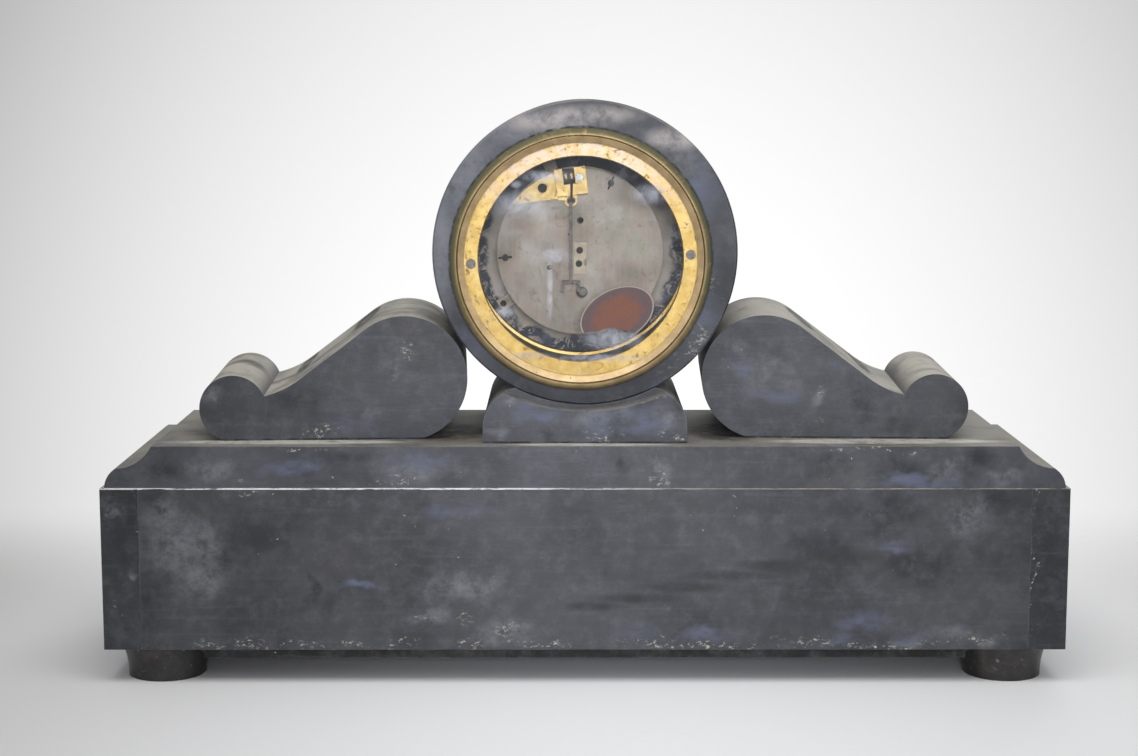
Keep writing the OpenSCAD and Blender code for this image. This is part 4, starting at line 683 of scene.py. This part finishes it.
# A drawn steel rod, dark grey with brown specks
dress(metal("steel_rod_grey", "#45403c", "#625b54", 0.45, size=0.004, spots="#3a2c22",
            spotted=0.7), "crutch")
dress(rusty_steel, "barrel_arbor")
dress(old_steel, "ratchet_wheel", "click", "click_spring", "intermediate_arbor", "centre_arbor",
      "pallets", "regulator_wheel")
# Wheel brass, still polished; arbor ends that come out through the plate are blackened with oil
bright = metal("brass_polished", "#c0a56c", "#dcc591", 0.4, size=0.006, spots="#a98a4d",
               spotted=0.35, black_from=plate_face - 0.0012)
dress(bright, "intermediate_wheel", "centre_wheel", "third_wheel", "escape_wheel",
      "cannon_pinion", "minute_wheel", "hour_wheel")
# Yellower brass, rubbed by hands at the suspension, with olive brown spots
yellow = metal("brass_yellow", "#9c8252", "#bda36c", 0.45, size=0.005, spots="#6c5630",
               spotted=0.6)
dress(yellow, "back_cock", "suspension_block")
dress(blued, "mainspring")

# Back door
# A spun brass ring pushed over the back ring's rim, with a thin flat glass. Its outside has gone
# green with tarnish, and its inner bead is still bright.

made, tree, surface, place, loose = begin("brass_spun_tarnished")
# Gold where fingers keep it bright, olive on the outer flank, brown in the groove
away = from_axis(tree, place)
height = add(tree, "SeparateXYZ", (place,)).node.outputs["Z"]
high = add(tree, "MapRange", (height, axis[2] - 0.06, axis[2] - 0.01, 0.35, 1.0),
           interpolation_type="SMOOTHSTEP")
flank = add(tree, "MapRange", (away, door_r - 0.0038, door_r - 0.002, 0.0, high))
tone = patches(tree, place, 0.01, 0.3, 0.7)
olive = patches(tree, loose, 0.006, 0.15, 0.5, within=flank, rough=0.7, shift=2)
groove_r = door_r - 0.0039
groove = add(tree, "Math", (away, -groove_r), operation="ADD")
groove = add(tree, "Math", (groove,), operation="ABSOLUTE")
groove = add(tree, "MapRange", (groove, 0.0006, 0.0002, 0.0, 0.9))
spots = patches(tree, loose, 0.002, 0.66, 0.7, within=0.8, shift=5)
base = paint(tree, colour("#998361"), [(tone, "#b8a077"), (olive, "#5c593c"),
                                       (groove, "#4a3b24"), (spots, "#4c3b22")])
tree.links.new(base, surface.inputs["Base Color"])
tree.links.new(add(tree, "MapRange", (olive, 0, 1, 1.0, 0.35)), surface.inputs["Metallic"])
tree.links.new(add(tree, "MapRange", (olive, 0, 1, 0.46, 0.65)), surface.inputs["Roughness"])
dress(made, "back_door_ring")

glass_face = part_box("back_glass")[1][1]
# Old window glass, greasy, with white smears painted where the glare of a window lies on it
dress(glass("glass_back", 0.07, face=glass_face,
            glares=((16, 221, 7, 4), (18, 205, 1.6, 16), (33, 247, 13, 7), (20, 261, 12, 3),
                    (35, 257, 3, 2), (-33, 252, 10, 5), (41, 192, 5, 3), (-12, 178, 12, 6),
                    (-22, 178, 8, 4), (-8, 168, 24, 2), (28, 169, 10, 2))),
      "back_glass")

# Paper label
# A bare oval of thin coloured paper with a pale rim, pasted on the outside of the back glass. Its
# lower part has been torn away.

label_at = Vector((-0.0164, glass_face, 0.1904))
label_wide, label_high, label_turn = 0.020, 0.0132, math.radians(26)
paper_thick = 0.0001
# Torn edge, as points across and up from the label's middle
torn = ((-0.030, -0.030), (-0.0128, -0.0125), (-0.0119, -0.0103), (-0.0098, -0.0096),
        (-0.0078, -0.0083), (-0.0056, -0.0086), (-0.0030, -0.0078), (-0.0001, -0.0075),
        (0.0015, -0.0066), (0.0038, -0.0064), (0.0056, -0.0070), (0.0076, -0.0078),
        (0.0097, -0.0086), (0.0140, -0.0087), (0.0192, -0.0096), (0.0300, -0.0100))


def torn_at(across):
    """Height of the torn edge at one place across the label."""
    for (x0, z0), (x1, z1) in zip(torn, torn[1:]):
        if x0 <= across <= x1:
            return z0 + (z1 - z0) * (across - x0) / (x1 - x0)


mesh = bmesh.new()
outline = []
for i in range(240):
    angle = math.tau * i / 240
    point = Vector((label_wide * math.cos(angle), 0, label_high * math.sin(angle)))
    point.rotate(Matrix.Rotation(label_turn, 3, "Y"))
    outline.append(Vector((point[0], 0, max(point[2], torn_at(point[0])))))
front = [mesh.verts.new(point + Vector((0, paper_thick, 0))) for point in outline]
back = [mesh.verts.new(point) for point in outline]
mesh.faces.new(front)
mesh.faces.new(back[::-1])
for i in range(len(outline)):
    mesh.faces.new((front[i - 1], back[i - 1], back[i], front[i]))
bmesh.ops.recalc_face_normals(mesh, faces=mesh.faces)
data = bpy.data.meshes.new("paper_label")
mesh.to_mesh(data)
mesh.free()

made, tree, surface, place, loose = begin("paper_printed_red")
# Old paper: orange red in the middle, purple grey round it, scuffed, with a pale line at the rim
flat = add(tree, "Mapping", {"Vector": place, "Rotation": (0, label_turn, 0),
                             "Scale": (label_wide, 1, label_high)}, vector_type="TEXTURE")
flat = add(tree, "VectorMath", (flat, (1, 0, 1)), operation="MULTIPLY")
away = add(tree, "VectorMath", (flat,), operation="LENGTH")
ragged = patches(tree, place, 0.005, 0.2, 0.8, within=0.3, rough=0.7, shift=1)
ragged = add(tree, "Math", (away, ragged), operation="ADD")
faded = add(tree, "MapRange", (ragged, 0.7, 1.0), interpolation_type="SMOOTHSTEP")
band = add(tree, "Math", (away, -0.9), operation="ADD")
band = add(tree, "Math", (band,), operation="ABSOLUTE")
band = add(tree, "MapRange", (band, 0.035, 0.01, 0.0, 0.6))
rim = add(tree, "MapRange", (away, 0.955, 0.97))
scuffs = patches(tree, loose, 0.003, 0.52, 0.7, within=0.45, rough=0.75, shift=3)
grime = patches(tree, loose, 0.0018, 0.58, 0.68, within=0.5, rough=0.75, shift=6)
browned = patches(tree, place, 0.006, 0.35, 0.7, within=0.7)
base = paint(tree, colour("#744a38"), [(browned, "#68463f"), (faded, "#56494b"),
                                       (scuffs, "#514749"), (band, "#664a3f"),
                                       (grime, "#3b373b"), (rim, "#97897f")])
tree.links.new(base, surface.inputs["Base Color"])
surface.inputs["Roughness"].default_value = 0.75

data.materials.append(made)
label = bpy.data.objects.new("paper_label", data)
bpy.context.collection.objects.link(label)
label.location = label_at
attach(label, "back_door")

# Floor, light and camera
# A pale table under broad soft light from above and in front, as a small product studio has.

bpy.ops.mesh.primitive_circle_add(vertices=96, radius=3.0, fill_type="NGON", location=(0, 0, 0))
floor = bpy.context.object
floor.name = "floor"
made, tree, surface, place, loose = begin("paper_pale")
# Matt white paper, greyer away from the middle as painted shade where the light falls off, that
# fades into the background well off the clock
out = add(tree, "VectorMath", (place, (1.0, 0.5, 0.0), (0.05, 0.0, 0.0)),
          operation="MULTIPLY_ADD")
out = add(tree, "VectorMath", (out, out), operation="DOT_PRODUCT")
grey = add(tree, "MapRange", (out, 0.0, 0.24))
tree.links.new(paint(tree, colour("#f3f3f2"), [(grey, "#a9a6a3")]), surface.inputs["Base Color"])
surface.inputs["Roughness"].default_value = 0.9
surface.inputs["Specular IOR Level"].default_value = 0.1
depth = add(tree, "SeparateXYZ", (place,)).node.outputs["Y"]
behind = add(tree, "MapRange", (depth, -0.08, -0.40), interpolation_type="SMOOTHSTEP")
beside = add(tree, "VectorMath", (place,), operation="LENGTH")
beside = add(tree, "MapRange", (beside, 0.6, 1.4), interpolation_type="SMOOTHSTEP")
fade = add(tree, "Math", (behind, beside), operation="MAXIMUM")
mixed = add(tree, "MixShader", (fade, surface.outputs[0], add(tree, "BsdfTransparent")))
tree.links.new(mixed, tree.nodes["Material Output"].inputs["Surface"])
floor.data.materials.append(made)

world = bpy.context.scene.world or bpy.data.worlds.new("studio")
bpy.context.scene.world = world
world.use_nodes = True
tree = world.node_tree
tree.nodes.clear()
# Seen behind the clock the studio is white in the middle and greyer towards the sides, a painted
# falloff of light. What lights the clock itself is an even, slightly cool ambient
backdrop_middle = (-0.026, -0.9798, -0.1983)
heading = add(tree, "TexCoord").node.outputs["Generated"]
off = add(tree, "VectorMath", (heading, backdrop_middle), operation="SUBTRACT")
off = add(tree, "VectorMath", (off, (1.0, 1.0, 0.8)), operation="MULTIPLY")
off = add(tree, "VectorMath", (off, off), operation="DOT_PRODUCT")
backdrop = add(tree, "MapRange", (off, 0.0, 0.12, 1.083, 0.50))
backdrop = add(tree, "Background", (colour("#ffffff"), backdrop))
ambient = add(tree, "Background", (colour("#f1f3f8"), 0.5))
camera_ray = add(tree, "LightPath")
add(tree, "OutputWorld", (add(tree, "MixShader", (camera_ray, ambient, backdrop)),))


def lamp(name, kind, place, aim, power, size, tone="#ffffff", **settings):
    """A soft lamp at one place aimed at another."""
    data = bpy.data.lights.new(name, kind)
    data.energy = power
    data.color = colour(tone)[:3]
    for key, value in settings.items():
        setattr(data, key, value)
    if kind == "AREA":
        data.shape = "RECTANGLE"
        data.size, data.size_y = size
    else:
        data.shadow_soft_size = size
    made = bpy.data.objects.new(name, data)
    bpy.context.collection.objects.link(made)
    made.location = place
    made.rotation_euler = (Vector(aim) - Vector(place)).to_track_quat("-Z", "Y").to_euler()


# A broad light hangs over the clock. A weaker one and a soft-edged spot stand by the camera, and
# a last one lights the dial side
lamp("top_softbox", "AREA", (0.0, 0.5, 1.3), (0, 0.05, 0), 9, (1.2, 0.8))
lamp("front_softbox", "AREA", (0.1, 1.5, 0.9), (0, 0, 0.15), 1.5, (1.0, 0.7))
lamp("front_spot", "SPOT", (-0.02, 1.5, 0.41), (-0.02, 0, 0.155), 54, 0.13, tone="#f4f6ff",
     spot_size=math.radians(24), spot_blend=1.0)
lamp("dial_side_softbox", "AREA", (-0.5, -1.5, 0.9), (0, 0, 0.15), 8, (1.2, 0.8))

# The camera stands behind the clock, a little above it, and looks 7.79 degrees down
camera = bpy.data.objects.new("camera", bpy.data.cameras.new("camera"))
bpy.context.collection.objects.link(camera)
camera.data.sensor_width = 36
camera.data.lens = 65.45
camera.location = (0.0097, 1.1163, 0.3021)
camera.rotation_euler = (math.radians(90 - 7.79), 0.0, math.radians(180 - 0.08))
bpy.context.scene.camera = camera
bpy.context.scene.view_settings.view_transform = "Standard"
